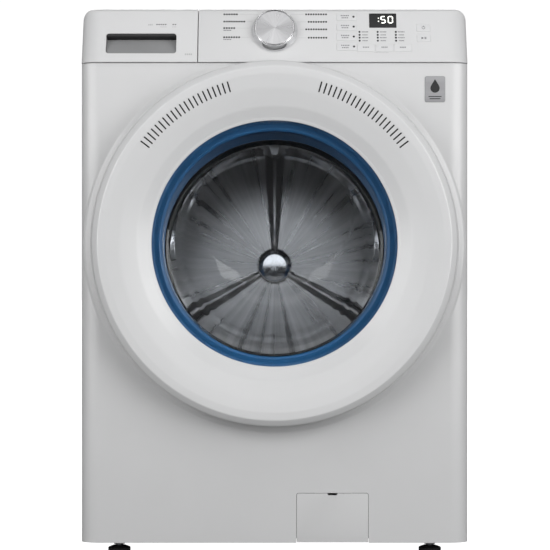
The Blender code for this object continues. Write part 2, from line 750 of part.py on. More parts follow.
def make_suspension():
    """Springs that hang the tub from the cabinet's sides, and dampers that stand below it."""
    for side, across in (("left", -SUSPENSION_X), ("right", SUSPENSION_X)):
        spring = coil((across, 0.080, 0.0), 0.016, 0.0025, 0.765, 0.870, 6)
        solid(f"suspension_spring_{side}", spring, "steel")
        place = (across, 0.040, 0.0)
        cylinder_outline = [
            (0.0068, 0.078), (0.0068, 0.215), (0.014, 0.215), (0.014, 0.0423), (0.0, 0.0423),
            (0.0, 0.078),
        ]
        rod_outline = [
            (0.0, 0.100), (0.0062, 0.100), (0.0062, 0.335), (0.012, 0.340), (0.012, 0.362),
            (0.0, 0.362),
        ]
        solid(f"damper_cylinder_{side}", turned(cylinder_outline, 16, "Z", place),
              "dark_plastic")
        solid(f"damper_rod_{side}", turned(rod_outline, 16, "Z", place), "steel")


# ---------------------------------------------------------------- drum
def make_drum(axis):
    """The basket with its rolled mouth, three lifters lower at the rear, and the hub's cap."""
    inner = DRUM_INNER_RADIUS
    wall = 0.0015
    rear = DRUM_REAR
    shell_outline = [
        (0.200, DRUM_MOUTH), (0.206, DRUM_MOUTH - 0.005), (inner - 0.006, DRUM_MOUTH + 0.004),
        (inner + wall, DRUM_MOUTH + 0.016), (inner + wall, rear - 0.010),
        (inner - 0.010, rear + wall), (0.0, rear + wall), (0.0, rear), (inner - 0.011, rear),
        (inner, rear - 0.011), (inner, DRUM_MOUTH + 0.017), (inner - 0.007, DRUM_MOUTH + 0.006),
        (0.206, DRUM_MOUTH - 0.002), (0.203, DRUM_MOUTH),
    ]
    shell = solid("drum_shell", turned(shell_outline, ROUND), "stainless", axis)
    touch = inner * math.cos(math.pi / ROUND) - GAP
    foot = 0.030
    base = math.sqrt(touch ** 2 - foot ** 2)
    thin = 0.002
    lifter_outline = [
        (-foot, base), (foot, base), (0.0130, base - 0.032), (0.0055, base - 0.054),
        (-0.0055, base - 0.054), (-0.0130, base - 0.032),
    ]
    hollow_outline = [
        (-foot + 2 * thin, base + 0.01), (foot - 2 * thin, base + 0.01),
        (foot - 2 * thin, base), (0.0130 - thin, base - 0.032 + thin),
        (0.0055 - thin, base - 0.054 + thin), (-0.0055 + thin, base - 0.054 + thin),
        (-0.0130 + thin, base - 0.032 + thin), (-foot + 2 * thin, base),
    ]
    start, end = DRUM_MOUTH + 0.030, rear - 0.030
    lifters = []
    for index in range(3):
        outside = extruded(lifter_outline, "XZ", start, end)
        hollow = extruded(hollow_outline, "XZ", start + thin, end - thin)
        for mesh, wall in ((outside, 0.0), (hollow, thin)):
            for vert in mesh.verts:
                depth = base - vert.co.z + wall
                share = 1.0 - 0.75 * (vert.co.y - start) / (end - start)
                if depth > wall + 0.001:
                    vert.co.z = base - depth * share + wall
        lifter = solid(f"drum_lifter_{index + 1}", outside, "stainless")
        combine(lifter, [solid("tool", hollow, "steel")])
        lifter.data.transform(Matrix.Rotation(math.radians(120 * index), 4, "Y"))
        lifter.parent = axis
        lifters.append(lifter)
    cap_outline = [
        (0.0, rear - 0.026), (0.012, rear - 0.0245), (0.023, rear - 0.020), (0.032, rear - 0.012),
        (0.037, rear - 0.003), (0.037, rear - GAP), (0.0, rear - GAP),
    ]
    cap = solid("hub_cap", turned(cap_outline, 24), "chrome", axis)
    return shell, lifters, cap


def make_spider(axis):
    """The three-armed casting behind the basket, with the shaft that runs through the tub."""
    start = DRUM_REAR + 0.002
    outline = []
    for index in range(3):
        middle = 90 + 120 * index
        outline += arc((0.0, 0.0), 0.232, middle - 4, middle + 4, 2)
        outline += arc((0.0, 0.0), 0.045, middle + 30, middle + 90, 3)
    spider = solid("drum_spider", extruded(outline, "XZ", start, start + 0.022), "cast_metal")
    hub = tool_rod((0.0, 0.0, 0.0), 0.028, start + 0.005, 0.572, "Y", SMALL)
    shaft = tool_rod((0.0, 0.0, 0.0), 0.0150, start + 0.010, PULLEY_START + 0.030, "Y", SMALL)
    combine(spider, [hub, shaft], "UNION")
    spider.parent = axis
    return spider


def make_drum_pulley(axis):
    """The large flat-belt pulley on the shaft's rear end."""
    start = PULLEY_START - 0.001
    end = PULLEY_START + PULLEY_WIDTH + 0.001
    radius = DRUM_PULLEY_RADIUS
    outline = [
        (0.0153, start), (0.034, start), (0.040, start + 0.008), (radius - 0.006, start + 0.008),
        (radius, start), (radius, end), (radius - 0.006, end), (radius - 0.006, start + 0.012),
        (0.040, start + 0.012), (0.0153, end),
    ]
    return solid("drum_pulley", turned(outline, ROUND), "cast_metal", axis)


# ---------------------------------------------------------------- door
def make_door():
    """The round door: silver ring, inner frame, bowl of glass, hinge leaf and strike."""
    centre = (0.0, 0.0, DOOR_CENTRE_Z)
    crest = DOOR_CREST_Y
    radius = DOOR_RADIUS
    back = -0.354
    ring_outline = [
        (WINDOW_RADIUS, -0.3780), (0.236, -0.3800), (0.265, -0.3890), (0.292, -0.3995),
        (0.308, -0.4055), (0.317, crest), (0.3250, -0.4030), (radius, -0.3920), (radius, back),
        (radius - 0.003, back), (radius - 0.003, -0.3915), (0.3225, -0.3995), (0.316, -0.4030),
        (0.2920, -0.3960), (0.2640, -0.3855), (WINDOW_RADIUS, -0.3750),
    ]
    outer_ring = solid("door_outer_ring", turned(ring_outline, FINE, "Y", centre),
                       "silver_plastic")
    frame_outline = [
        (0.2290, -0.3702), (0.2330, -0.3702), (0.2330, -0.3555), (0.3262, -0.3555),
        (0.3262, -0.3525), (0.2290, -0.3525),
    ]
    inner_ring = solid("door_inner_ring", turned(frame_outline, FINE, "Y", centre),
                       "grey_plastic")
    hinge_window = tool_block((-0.345, -0.360, DOOR_CENTRE_Z - 0.062),
                              (-0.258, -0.345, DOOR_CENTRE_Z + 0.062))
    combine(inner_ring, [hinge_window])
    bowl_outline = [
        (0.2282, -0.3747), (0.2282, -0.3707), (0.1930, -0.3707), (0.1850, -0.3640),
        (0.1800, -0.3300), (0.1620, -0.2850), (0.1300, -0.2550), (0.0800, -0.2400),
        (0.0, -0.2360), (0.0, -0.2400), (0.0790, -0.2440), (0.1275, -0.2585),
        (0.1585, -0.2875), (0.1760, -0.3310), (0.1810, -0.3660), (0.1900, -0.3747),
    ]
    glass = solid("door_glass", turned(bowl_outline, ROUND, "Y", centre), "glass")
    leaf = make_hinge_leaf()
    strike = solid("door_strike",
                   block((STRIKE_X - 0.006, -0.3522, DOOR_CENTRE_Z - 0.012),
                         (STRIKE_X + 0.006, -0.325, DOOR_CENTRE_Z + 0.012), 0.001),
                   "chrome")
    hinge = frame_at("door_hinge_axis", (HINGE_X, HINGE_Y, DOOR_CENTRE_Z))
    hang_on(hinge, outer_ring, inner_ring, glass, leaf, strike)


def make_hinge_leaf():
    """The door's half of the hinge: a knuckle and a plate standing on the inner frame."""
    half = 0.026
    thickness = 0.003
    front = HINGE_Y - thickness / 2
    bend_x = -0.270
    foot_x = -0.246
    foot = -0.3558
    outline = [
        (HINGE_X, front), (bend_x, front), (foot_x, front + 0.012), (foot_x, foot),
        (foot_x - thickness, foot), (foot_x - thickness, front + 0.015),
        (bend_x - 0.0015, front + thickness), (HINGE_X, front + thickness),
    ]
    low, high = DOOR_CENTRE_Z - half, DOOR_CENTRE_Z + half
    leaf = solid("door_hinge_leaf", extruded(outline, "XY", low, high), "steel")
    place = (HINGE_X, HINGE_Y, 0.0)
    combine(leaf, [tool_rod(place, 0.0060, low, high, "Z", 16)], "UNION")
    combine(leaf, [tool_rod(place, 0.0033, low - 0.01, high + 0.01, "Z", 16)])
    return leaf


def make_hinge_bracket():
    """The cabinet's half of the hinge: a goose-neck on the front panel that carries the pin."""
    thickness = 0.003
    arm_x = -0.265
    tab_x = -0.294
    face = FRONT_Y - GAP
    outline = [
        (HINGE_X, HINGE_Y - thickness / 2), (arm_x, HINGE_Y - thickness / 2), (arm_x, face),
        (tab_x, face), (tab_x, face - thickness), (arm_x - thickness, face - thickness),
        (arm_x - thickness, HINGE_Y + thickness / 2), (HINGE_X, HINGE_Y + thickness / 2),
    ]
    low, high = DOOR_CENTRE_Z - 0.050, DOOR_CENTRE_Z + 0.050
    bracket = solid("door_hinge_bracket", extruded(outline, "XY", low, high), "steel")
    place = (HINGE_X, HINGE_Y, 0.0)
    combine(bracket, [tool_rod(place, 0.0060, low, high, "Z", 16)], "UNION")
    opening = tool_block((HINGE_X - 0.02, HINGE_Y - 0.02, DOOR_CENTRE_Z - 0.027),
                         (arm_x + 0.01, face - thickness - 0.001, DOOR_CENTRE_Z + 0.027))
    combine(bracket, [opening])
    combine(bracket, [tool_rod(place, 0.0030, low, high, "Z", 16)], "UNION")
    return bracket


def make_door_lock():
    """The lock behind the front panel, with a slot that the strike enters."""
    low = (STRIKE_X - 0.017, FRONT_Y + SHEET + GAP, DOOR_CENTRE_Z - 0.040)
    high = (STRIKE_X + 0.034, -0.312, DOOR_CENTRE_Z + 0.040)
    lock = solid("door_lock", block(low, high), "dark_plastic")
    slot = tool_block((STRIKE_X - 0.010, FRONT_Y - 0.01, DOOR_CENTRE_Z - 0.016),
                      (STRIKE_X + 0.012, -0.318, DOOR_CENTRE_Z + 0.016))
    combine(lock, [slot])
    return lock


# ---------------------------------------------------------------- assembly
def build():
    """Make every piece of the machine."""
    clear_scene()
    make_side_panels()
    rear_panel = make_rear_panel()
    make_top_panel()
    make_base_frame()
    make_feet()
    make_front_panel()
    make_filter_hatch()
    make_drain_pump()
    make_inlet_and_gland()
    cut_rear_panel(rear_panel)

    face = frame_at("console_face", (0.0, CONSOLE_FRONT_Y, CONSOLE_BOTTOM), -CONSOLE_TILT)
    make_console(face)
    make_display(face)
    make_keys(face)
    make_knob(face)
    make_drawer(face)
    make_dispenser_housing()

    axis = frame_at("drum_axis", (0.0, FRONT_Y, DOOR_CENTRE_Z), -DRUM_TILT)
    make_tub(axis)
    make_counterweight(axis)
    make_gasket()
    make_shaft_bearing(axis)
    make_motor(axis)
    make_belt(axis)
    make_suspension()
    make_drum(axis)
    make_spider(axis)
    make_drum_pulley(axis)

    make_door()
    make_hinge_bracket()
    make_door_lock()


build()
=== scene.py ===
"""The looks of the front load washing machine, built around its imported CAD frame.

Frame: metres, +Z up, the front faces -Y and the origin is on the floor under the middle of the
machine. FACE is the frame of the sloping console face (X across, Z up the face, -Y out of it)
and DRUM the frame of the tilted drum (Y runs along its axis, into the machine).
"""

import math

import bmesh
import bpy
from mathutils import Matrix, Vector


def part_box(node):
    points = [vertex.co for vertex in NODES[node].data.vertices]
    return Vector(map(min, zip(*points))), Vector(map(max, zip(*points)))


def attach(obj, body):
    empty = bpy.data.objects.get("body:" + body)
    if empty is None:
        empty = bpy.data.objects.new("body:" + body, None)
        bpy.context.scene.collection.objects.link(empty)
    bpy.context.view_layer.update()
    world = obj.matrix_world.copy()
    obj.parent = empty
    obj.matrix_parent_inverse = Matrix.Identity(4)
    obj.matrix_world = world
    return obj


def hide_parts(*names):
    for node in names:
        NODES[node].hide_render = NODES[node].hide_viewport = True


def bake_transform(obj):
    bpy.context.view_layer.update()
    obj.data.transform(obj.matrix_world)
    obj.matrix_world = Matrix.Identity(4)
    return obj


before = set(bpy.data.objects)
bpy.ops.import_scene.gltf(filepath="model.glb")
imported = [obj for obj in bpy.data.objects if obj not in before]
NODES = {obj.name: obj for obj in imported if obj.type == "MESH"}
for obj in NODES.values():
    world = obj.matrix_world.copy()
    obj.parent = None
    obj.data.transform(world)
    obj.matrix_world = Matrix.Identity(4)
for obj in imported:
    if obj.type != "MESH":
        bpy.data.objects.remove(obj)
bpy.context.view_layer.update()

# ---- cabinet ----
HALF_WIDTH = 0.3555
HEIGHT = 1.010
FRONT_Y = -0.345
BACK_Y = 0.380
BODY_BOTTOM = 0.026
TOP_PANEL_BOTTOM = 0.982
FRONT_RETURN_Y = -0.315
CORNER_ACROSS = 0.036
CORNER_DEEP = 0.021
TOP_CORNER = 0.021
SHEET = 0.0012

# ---- console ----
CONSOLE_FRONT_Y = -0.350
CONSOLE_BACK_Y = -0.262
CONSOLE_BOTTOM = 0.9065
CONSOLE_TILT = math.radians(20)
CREST_RADIUS = 0.009
DRAWER_SEAM_X = -0.141
KEY_HEIGHT = 0.0155
KNOB_UP = 0.0640
DISPLAY_X = 0.1998
DISPLAY_UP = 0.08565
POCKET_X = -0.24525
POCKET_UP = 0.0385
POCKET_WIDTH = 0.1295
POCKET_HEIGHT = 0.041
POCKET_DEPTH = 0.017

# ---- door ----
DOOR_CENTRE_Z = 0.574
DOOR_RADIUS = 0.330
WINDOW_RADIUS = 0.223
PANEL_OPENING_RADIUS = 0.243
GLASS_FRONT_Y = -0.3747
GLASS_WALL = 0.0035

# ---- drum, along its axis from the plane of the front panel ----
DRUM_TILT = math.radians(4.2)
DRUM_RADIUS = 0.245
DRUM_MOUTH = 0.122
DRUM_REAR = 0.520

FACE = (Matrix.Translation((0.0, CONSOLE_FRONT_Y, CONSOLE_BOTTOM))
        @ Matrix.Rotation(-CONSOLE_TILT, 4, "X"))
DRUM = (Matrix.Translation((0.0, FRONT_Y, DOOR_CENTRE_Z))
        @ Matrix.Rotation(-DRUM_TILT, 4, "X"))
DOOR = Matrix.Translation((0.0, 0.0, DOOR_CENTRE_Z))

# Each key: name, x and height up the face of its middle, and its width.
OPTION_KEYS = [(f"option_key_{index + 1}", 0.1328, 0.0935 - 0.0206 * index, 0.037)
               for index in range(4)]
SETTING_KEYS = [(f"setting_key_{index + 1}", 0.1678 + 0.034 * index, 0.0294, 0.032)
                for index in range(3)]
POWER_KEYS = [("power_key", 0.2745, 0.0706, 0.025), ("start_key", 0.2745, 0.0493, 0.025)]
KEYS = OPTION_KEYS + SETTING_KEYS + POWER_KEYS


# ---------------------------------------------------------------- materials
class Finish:
    """A Principled material whose colour, roughness and bump come from procedural textures."""

    def __init__(self, name, colour, roughness, metallic=0.0):
        self.material = bpy.data.materials.new(name)
        self.material.use_nodes = True
        self.tree = self.material.node_tree
        self.shader = self.tree.nodes["Principled BSDF"]
        self.shader.inputs["Metallic"].default_value = metallic
        self.shader.inputs["Roughness"].default_value = roughness
        self.shader.inputs["Base Color"].default_value = (*colour, 1.0)
        self.material.diffuse_color = (*colour, 1.0)
        self.colour = colour
        self.roughness = roughness
        self.place = self.node("ShaderNodeTexCoord").outputs["Object"]

    def node(self, kind, **values):
        """A node with its sockets set or linked by name."""
        made = self.tree.nodes.new(kind)
        for key, value in values.items():
            socket = made.inputs[key.replace("_", " ")]
            if isinstance(value, bpy.types.NodeSocket):
                self.tree.links.new(value, socket)
            else:
                socket.default_value = value
        return made

    def link(self, output, socket):
        """Link a node's output to one of the shader's sockets."""
        self.tree.links.new(output, self.shader.inputs[socket])

    def set(self, **values):
        """Plain values on the shader's own sockets."""
        for key, value in values.items():
            self.shader.inputs[key.replace("_", " ")].default_value = value

    def scaled(self, stretch):
        """Object coordinates stretched along each axis."""
        return self.node("ShaderNodeMapping", Vector=self.place, Scale=stretch).outputs["Vector"]

    def noise(self, scale, detail=3.0, where=None):
        """A noise texture's value at where, the object's own coordinates by default."""
        where = where or self.place
        return self.node("ShaderNodeTexNoise", Vector=where, Scale=scale,
                         Detail=detail).outputs["Fac"]

    def span(self, value, low, high, start=0.3, end=0.7):
        """A value between start and end spread over low to high."""
        made = self.node("ShaderNodeMapRange", Value=value)
        for key, number in (("From Min", start), ("From Max", end), ("To Min", low),
                            ("To Max", high)):
            made.inputs[key].default_value = number
        return made.outputs["Result"]

    def tint(self, value, amount, other=None):
        """Vary the colour by a value: darker to lighter by amount, or towards other."""
        dark = [part * (1 - amount) for part in self.colour]
        light = [min(1.0, part * (1 + amount)) for part in self.colour]
        if other:
            dark, light = self.colour, other
        mix = self.tree.nodes.new("ShaderNodeMix")
        mix.data_type = "RGBA"
        self.tree.links.new(value, mix.inputs["Factor"])
        for socket in mix.inputs:
            if socket.type == "RGBA" and socket.name == "A":
                socket.default_value = (*dark, 1.0)
            if socket.type == "RGBA" and socket.name == "B":
                socket.default_value = (*light, 1.0)
        colour = [socket for socket in mix.outputs if socket.type == "RGBA"][0]
        self.link(colour, "Base Color")

    def shine(self, value, amount):
        """Vary the roughness by a value."""
        low = max(0.02, self.roughness - amount)
        high = min(1.0, self.roughness + amount)
        self.link(self.span(value, low, high), "Roughness")

    def bump(self, value, height, strength=0.4):
        """Raise the surface by a value, at most by height."""
        made = self.node("ShaderNodeBump", Height=value, Strength=strength, Distance=height)
        self.link(made.outputs["Normal"], "Normal")


def painted(name, colour, roughness, coat=0.25):
    """Enamel on pressed steel: a clear coat over faint orange peel."""
    made = Finish(name, colour, roughness)
    made.set(Coat_Weight=coat, Coat_Roughness=0.18)
    made.tint(made.span(made.noise(7.0), 0.0, 1.0), 0.012)
    made.shine(made.noise(30.0), 0.03)
    made.bump(made.noise(420.0, 1.0), 0.00005, 0.16)
    return made.material


def moulded(name, colour, roughness, grain=1300.0, height=0.00006):
    """Moulded plastic or rubber with a fine eroded grain."""
    made = Finish(name, colour, roughness)
    made.tint(made.span(made.noise(18.0, 5.0), 0.0, 1.0), 0.05)
    made.shine(made.noise(60.0), 0.06)
    made.bump(made.noise(grain, 2.0), height, 0.35)
    return made.material


def cast(name, colour, roughness, metallic):
    """A rough casting: pitted, with darker hollows."""
    made = Finish(name, colour, roughness, metallic)
    pits = made.noise(220.0, 6.0)
    made.tint(made.span(pits, 0.0, 1.0), 0.22)
    made.shine(made.noise(90.0, 5.0), 0.10)
    made.bump(pits, 0.0006, 0.5)
    return made.material


def galvanised(name):
    """Zinc-coated steel: flat spangles that differ in tone and gloss."""
    made = Finish(name, (0.46, 0.47, 0.48), 0.42, 0.85)
    cells = made.node("ShaderNodeTexVoronoi", Vector=made.place, Scale=95.0)
    grey = made.node("ShaderNodeSeparateColor", Color=cells.outputs["Color"]).outputs["Red"]
    made.tint(grey, 0.05)
    made.shine(grey, 0.05)
    made.bump(made.noise(240.0), 0.00008, 0.2)
    return made.material


def brushed(name, colour, roughness, stretch, amount=0.10):
    """Metal brushed along one direction: the stretch is small along the brushing."""
    made = Finish(name, colour, roughness, 1.0)
    lines = made.noise(60.0, 6.0, made.scaled(stretch))
    made.tint(made.span(lines, 0.0, 1.0), amount)
    made.shine(lines, 0.10)
    made.bump(lines, 0.00006, 0.25)
    return made.material


def spun(name, colour, roughness, streaks, amount, anisotropic, per_turn=5.0):
    """Metal brushed in circles about the object's own Y, with painted sheen: colour streaks that run
    out from the axis stand in for the radial highlights of the brushing.
    """
    made = Finish(name, colour, roughness, 1.0)
    parts = made.node("ShaderNodeSeparateXYZ", Vector=made.place)
    angle = made.node("ShaderNodeMath")
    angle.operation = "ARCTAN2"
    made.tree.links.new(parts.outputs["X"], angle.inputs[0])
    made.tree.links.new(parts.outputs["Z"], angle.inputs[1])
    radius = made.node("ShaderNodeVectorMath", Vector=made.place)
    radius.operation = "LENGTH"
    polar = made.node("ShaderNodeCombineXYZ", X=angle.outputs[0], Y=radius.outputs["Value"])
    sheen_rays = made.noise(per_turn, 5.0, polar.outputs["Vector"])
    rings = made.node("ShaderNodeTexNoise", Scale=streaks, Detail=2.0)
    rings.noise_dimensions = "1D"
    made.tree.links.new(radius.outputs["Value"], rings.inputs["W"])
    # Painted sheen: the colour lightens and darkens in streaks out from the axis, standing in for
    # highlights.
    made.tint(made.span(sheen_rays, 0.0, 1.0), amount)
    made.shine(sheen_rays, 0.08)
    made.bump(rings.outputs["Fac"], 0.00006, 0.25)
    tangent = made.tree.nodes.new("ShaderNodeTangent")
    tangent.direction_type = "RADIAL"
    tangent.axis = "Y"
    made.set(Anisotropic=anisotropic)
    made.link(tangent.outputs["Tangent"], "Tangent")
    return made.material


def window_glass(name, tint):
    """Clear glass that lets the lamps' light through to what is behind it."""
    made = Finish(name, tint, 0.0)
    made.set(Transmission_Weight=1.0, IOR=1.24, Specular_IOR_Level=0.35)
    smears = made.noise(9.0, 4.0)
    made.link(made.span(smears, 0.0, 0.025), "Roughness")
    made.tint(made.span(smears, 0.0, 1.0), 0.02)
    path = made.tree.nodes.new("ShaderNodeLightPath")
    clear = made.tree.nodes.new("ShaderNodeBsdfTransparent")
    clear.inputs["Color"].default_value = (*[part * 0.95 for part in tint], 1.0)
    mix = made.tree.nodes.new("ShaderNodeMixShader")
    output = made.tree.nodes["Material Output"]
    made.tree.links.new(path.outputs["Is Shadow Ray"], mix.inputs[0])
    made.tree.links.new(made.shader.outputs[0], mix.inputs[1])
    made.tree.links.new(clear.outputs[0], mix.inputs[2])
    made.tree.links.new(mix.outputs[0], output.inputs["Surface"])
    return made.material


def glowing(name, colour, strength):
    """The lit segments of the display, a little uneven along their length."""
    made = Finish(name, colour, 0.4)
    made.set(Emission_Color=(*colour, 1.0))
    made.link(made.span(made.noise(160.0), strength * 0.85, strength * 1.1), "Emission Strength")
    return made.material


def circuit(name):
    """A green board: solder mask over a grid of paler tracks."""
    made = Finish(name, (0.02, 0.13, 0.06), 0.35)
    tracks = made.node("ShaderNodeTexBrick", Vector=made.place, Scale=90.0)
    made.tint(tracks.outputs["Fac"], 0.0, (0.10, 0.30, 0.12))
    made.bump(tracks.outputs["Fac"], 0.0001, 0.4)
    return made.material


PAINT = painted("silver_paint_enamel", (0.600, 0.602, 0.606), 0.36)
CONSOLE_PAINT = painted("console_enamel", (0.615, 0.617, 0.622), 0.36)
DOOR_PAINT = painted("door_ring_enamel", (0.640, 0.643, 0.648), 0.34)
KEY_PAINT = painted("key_enamel", (0.630, 0.633, 0.640), 0.42, 0.0)
ZINC = galvanised("zinc_sheet")
DARK = moulded("dark_moulding", (0.022, 0.022, 0.024), 0.5)
# Black for print and dark parts, also used as painted shadow in the drawer's finger pocket.
BLACK_PRINT_AND_SHADOW = moulded("black_print_and_painted_shadow", (0.008, 0.008, 0.009), 0.55)
INK = moulded("grey_print", (0.13, 0.13, 0.14), 0.6)
PALE_INK = moulded("pale_print", (0.42, 0.425, 0.43), 0.6)
KEY_INK = moulded("key_print", (0.22, 0.22, 0.23), 0.6)
GREY = moulded("grey_moulding", (0.30, 0.305, 0.31), 0.5)
TUB_GREY = moulded("tub_moulding", (0.36, 0.36, 0.355), 0.6, 500.0, 0.0002)
WHITE = moulded("white_moulding", (0.74, 0.74, 0.72), 0.42)
POCKET_GREY = moulded("pocket_moulding", (0.26, 0.262, 0.266), 0.45)
RUBBER = moulded("black_rubber_skin", (0.016, 0.016, 0.016), 0.75, 700.0, 0.0001)
BLUE = moulded("blue_rubber_skin", (0.014, 0.092, 0.215), 0.42, 500.0, 0.00008)
BOOT = moulded("boot_rubber_skin", (0.010, 0.060, 0.140), 0.45, 400.0, 0.0001)
IRON = cast("iron_casting", (0.10, 0.10, 0.10), 0.7, 0.6)
ALUMINIUM = cast("aluminium_casting", (0.42, 0.43, 0.44), 0.5, 0.85)
STEEL = brushed("bright_steel", (0.45, 0.46, 0.47), 0.35, (1.0, 1.0, 0.05))
# The spun steels carry painted sheen in their colour streaks, strongest on the rear wall and the
# knob cap.
DRUM_STEEL = spun("drum_steel", (0.62, 0.61, 0.60), 0.32, 900.0, 0.10, 0.55)
REAR_STEEL = spun("rear_wall_steel", (0.55, 0.54, 0.54), 0.30, 700.0, 0.30, 0.65, 9.0)
# Near-black steel for the drum's rolled mouth: painted shade for the dim flange behind the gasket
# lip.
SHADED_MOUTH_STEEL = spun("mouth_steel_painted_shade", (0.055, 0.053, 0.050), 0.45, 700.0, 0.10, 0.3)
BADGE_STEEL = brushed("badge_steel", (0.33, 0.33, 0.34), 0.4, (0.06, 1.0, 1.0))
CAP_STEEL = spun("knob_cap_steel", (0.50, 0.50, 0.51), 0.30, 2600.0, 0.22, 0.8, 1.6)
CHROME = spun("chrome_plate", (0.78, 0.78, 0.79), 0.14, 60.0, 0.005, 0.0)
GLASS = window_glass("bowl_glass", (0.82, 0.85, 0.88))
BOARD = circuit("board_green")
GLOW = glowing("digit_glow", (0.90, 0.90, 0.84), 1.6)


# ---------------------------------------------------------------- mesh helpers
def rounded(corners, steps=6):
    """An outline of (x, y, radius) corners, each turned into an arc of its radius."""
    points = []
    count = len(corners)
    for index, (across, up, radius) in enumerate(corners):
        corner = Vector((across, up))
        back = Vector(corners[index - 1][:2]) - corner
        ahead = Vector(corners[(index + 1) % count][:2]) - corner
        half = back.angle(ahead) / 2
        reach = radius / math.tan(half) if radius else 0.0
        reach = min(reach, 0.49 * back.length, 0.49 * ahead.length)
        if reach < 1e-6 or half > math.radians(89.5):
            points.append(corner)
            continue
        radius = reach * math.tan(half)
        inward = (back.normalized() + ahead.normalized()).normalized()
        centre = corner + inward * (radius / math.sin(half))
        start = corner + back.normalized() * reach - centre
        end = corner + ahead.normalized() * reach - centre
        first = math.atan2(start.y, start.x)
        sweep = math.atan2(end.y, end.x) - first
        sweep = (sweep + math.pi) % (2 * math.pi) - math.pi
        for step in range(steps + 1):
            angle = first + sweep * step / steps
            points.append(centre + Vector((math.cos(angle), math.sin(angle))) * radius)
    return points


def rounded_rectangle(across, up, width, height, radius, steps=5):
    """The outline of a rectangle with rounded corners, about its middle."""
    right, left = across + width / 2, across - width / 2
    top, bottom = up + height / 2, up - height / 2
    return rounded([(left, bottom, radius), (right, bottom, radius), (right, top, radius),
                    (left, top, radius)], steps)


def skin(mesh, rings, around=True, along=True):
    """Faces between rings of vertices; a ring of one vertex is a tip."""
    pairs = list(zip(rings, rings[1:]))
    if along:
        pairs.append((rings[-1], rings[0]))
    for ring, after in pairs:
        count = max(len(ring), len(after))
        if count == 1:
            continue
        for step in range(count if around else count - 1):
            turn = (step + 1) % count
            if len(ring) == 1:
                corners = [ring[0], after[step], after[turn]]
            elif len(after) == 1:
                corners = [ring[step], after[0], ring[turn]]
            else:
                corners = [ring[step], after[step], after[turn], ring[turn]]
            mesh.faces.new(corners)


def lathe(outline, segments=144, axis="Y"):
    """A closed outline of (radius, along) points turned about an axis."""
    mesh = bmesh.new()
    rings = []
    for radius, along in outline:
        ring = []
        for step in range(segments if radius > 1e-7 else 1):
            angle = 2 * math.pi * step / segments
            across, up = radius * math.sin(angle), radius * math.cos(angle)
            spot = (across, along, up) if axis == "Y" else (across, up, along)
            ring.append(mesh.verts.new(spot))
        rings.append(ring)
    skin(mesh, rings)
    return mesh


def prism(outline, plane, low, high):
    """A flat closed outline in plane XY, XZ or YZ, drawn out from low to high."""
    places = {
        "XY": lambda first, second, level: (first, second, level),
        "XZ": lambda first, second, level: (first, level, second),
        "YZ": lambda first, second, level: (level, first, second),
    }
    place = places[plane]
    mesh = bmesh.new()
    bottom = [mesh.verts.new(place(first, second, low)) for first, second in outline]
    top = [mesh.verts.new(place(first, second, high)) for first, second in outline]
    mesh.faces.new(bottom)
    mesh.faces.new(top[::-1])
    skin(mesh, [bottom, top], along=False)
    return mesh


def soften(mesh, width, chosen=None, segments=3):
    """Round the chosen edges, or all sharp ones."""
    bmesh.ops.recalc_face_normals(mesh, faces=mesh.faces[:])
    edges = []
    for edge in mesh.edges:
        sharp = len(edge.link_faces) == 2 and edge.calc_face_angle() > math.radians(40)
        if sharp and (chosen is None or chosen(edge)):
            edges.append(edge)
    bmesh.ops.bevel(mesh, geom=edges, offset=width, segments=segments, profile=0.5,
                    affect="EDGES", clamp_overlap=True)
    return mesh


def block(low, high, bevel=0.0, segments=3):
    """A box between two corners with its edges rounded."""
    mesh = bmesh.new()
    size = Vector(high) - Vector(low)
    middle = (Vector(high) + Vector(low)) / 2
    bmesh.ops.create_cube(mesh, size=1.0,
                          matrix=Matrix.Translation(middle) @ Matrix.Diagonal((*size, 1.0)))
    if bevel:
        soften(mesh, bevel, segments=segments)
    return mesh


def tube(path, radius, sides=10):
    """A round bar along a list of points, closed at both ends."""
    mesh = bmesh.new()
    rings = []
    across = Vector((0.31, 0.83, 0.47))
    for index, point in enumerate(path):
        before = path[max(0, index - 1)]
        after = path[min(len(path) - 1, index + 1)]
        ahead = (after - before).normalized()
        across = (across - ahead * across.dot(ahead)).normalized()
        side = ahead.cross(across)
        ring = []
        for step in range(sides):
            angle = 2 * math.pi * step / sides
            spot = point + (across * math.cos(angle) + side * math.sin(angle)) * radius
            ring.append(mesh.verts.new(spot))
        rings.append(ring)
    skin(mesh, rings, along=False)
    mesh.faces.new(rings[0])
    mesh.faces.new(rings[-1][::-1])
    return mesh


def join(meshes):
    """Several meshes as one."""
    whole = meshes[0]
    for extra in meshes[1:]:
        data = bpy.data.meshes.new("extra")
        extra.to_mesh(data)
        extra.free()
        whole.from_mesh(data)
        bpy.data.meshes.remove(data)
    return whole


def moved(mesh, place):
    """The mesh put in place by a matrix."""
    mesh.transform(place)
    return mesh


def loose(name, mesh, finish=None, sharp=35):
    """An object from a mesh, facing out and smooth between its sharp edges."""
    bmesh.ops.recalc_face_normals(mesh, faces=mesh.faces[:])
    data = bpy.data.meshes.new(name)
    mesh.to_mesh(data)
    mesh.free()
    if finish:
        data.materials.append(finish)
    made = bpy.data.objects.new(name, data)
    bpy.context.scene.collection.objects.link(made)
    shade(made, sharp)
    return made


def shade(made, sharp=35):
    """Smooth shading between the edges sharper than an angle in degrees."""
    made.data.shade_smooth()
    made.data.set_sharp_from_angle(angle=math.radians(sharp))


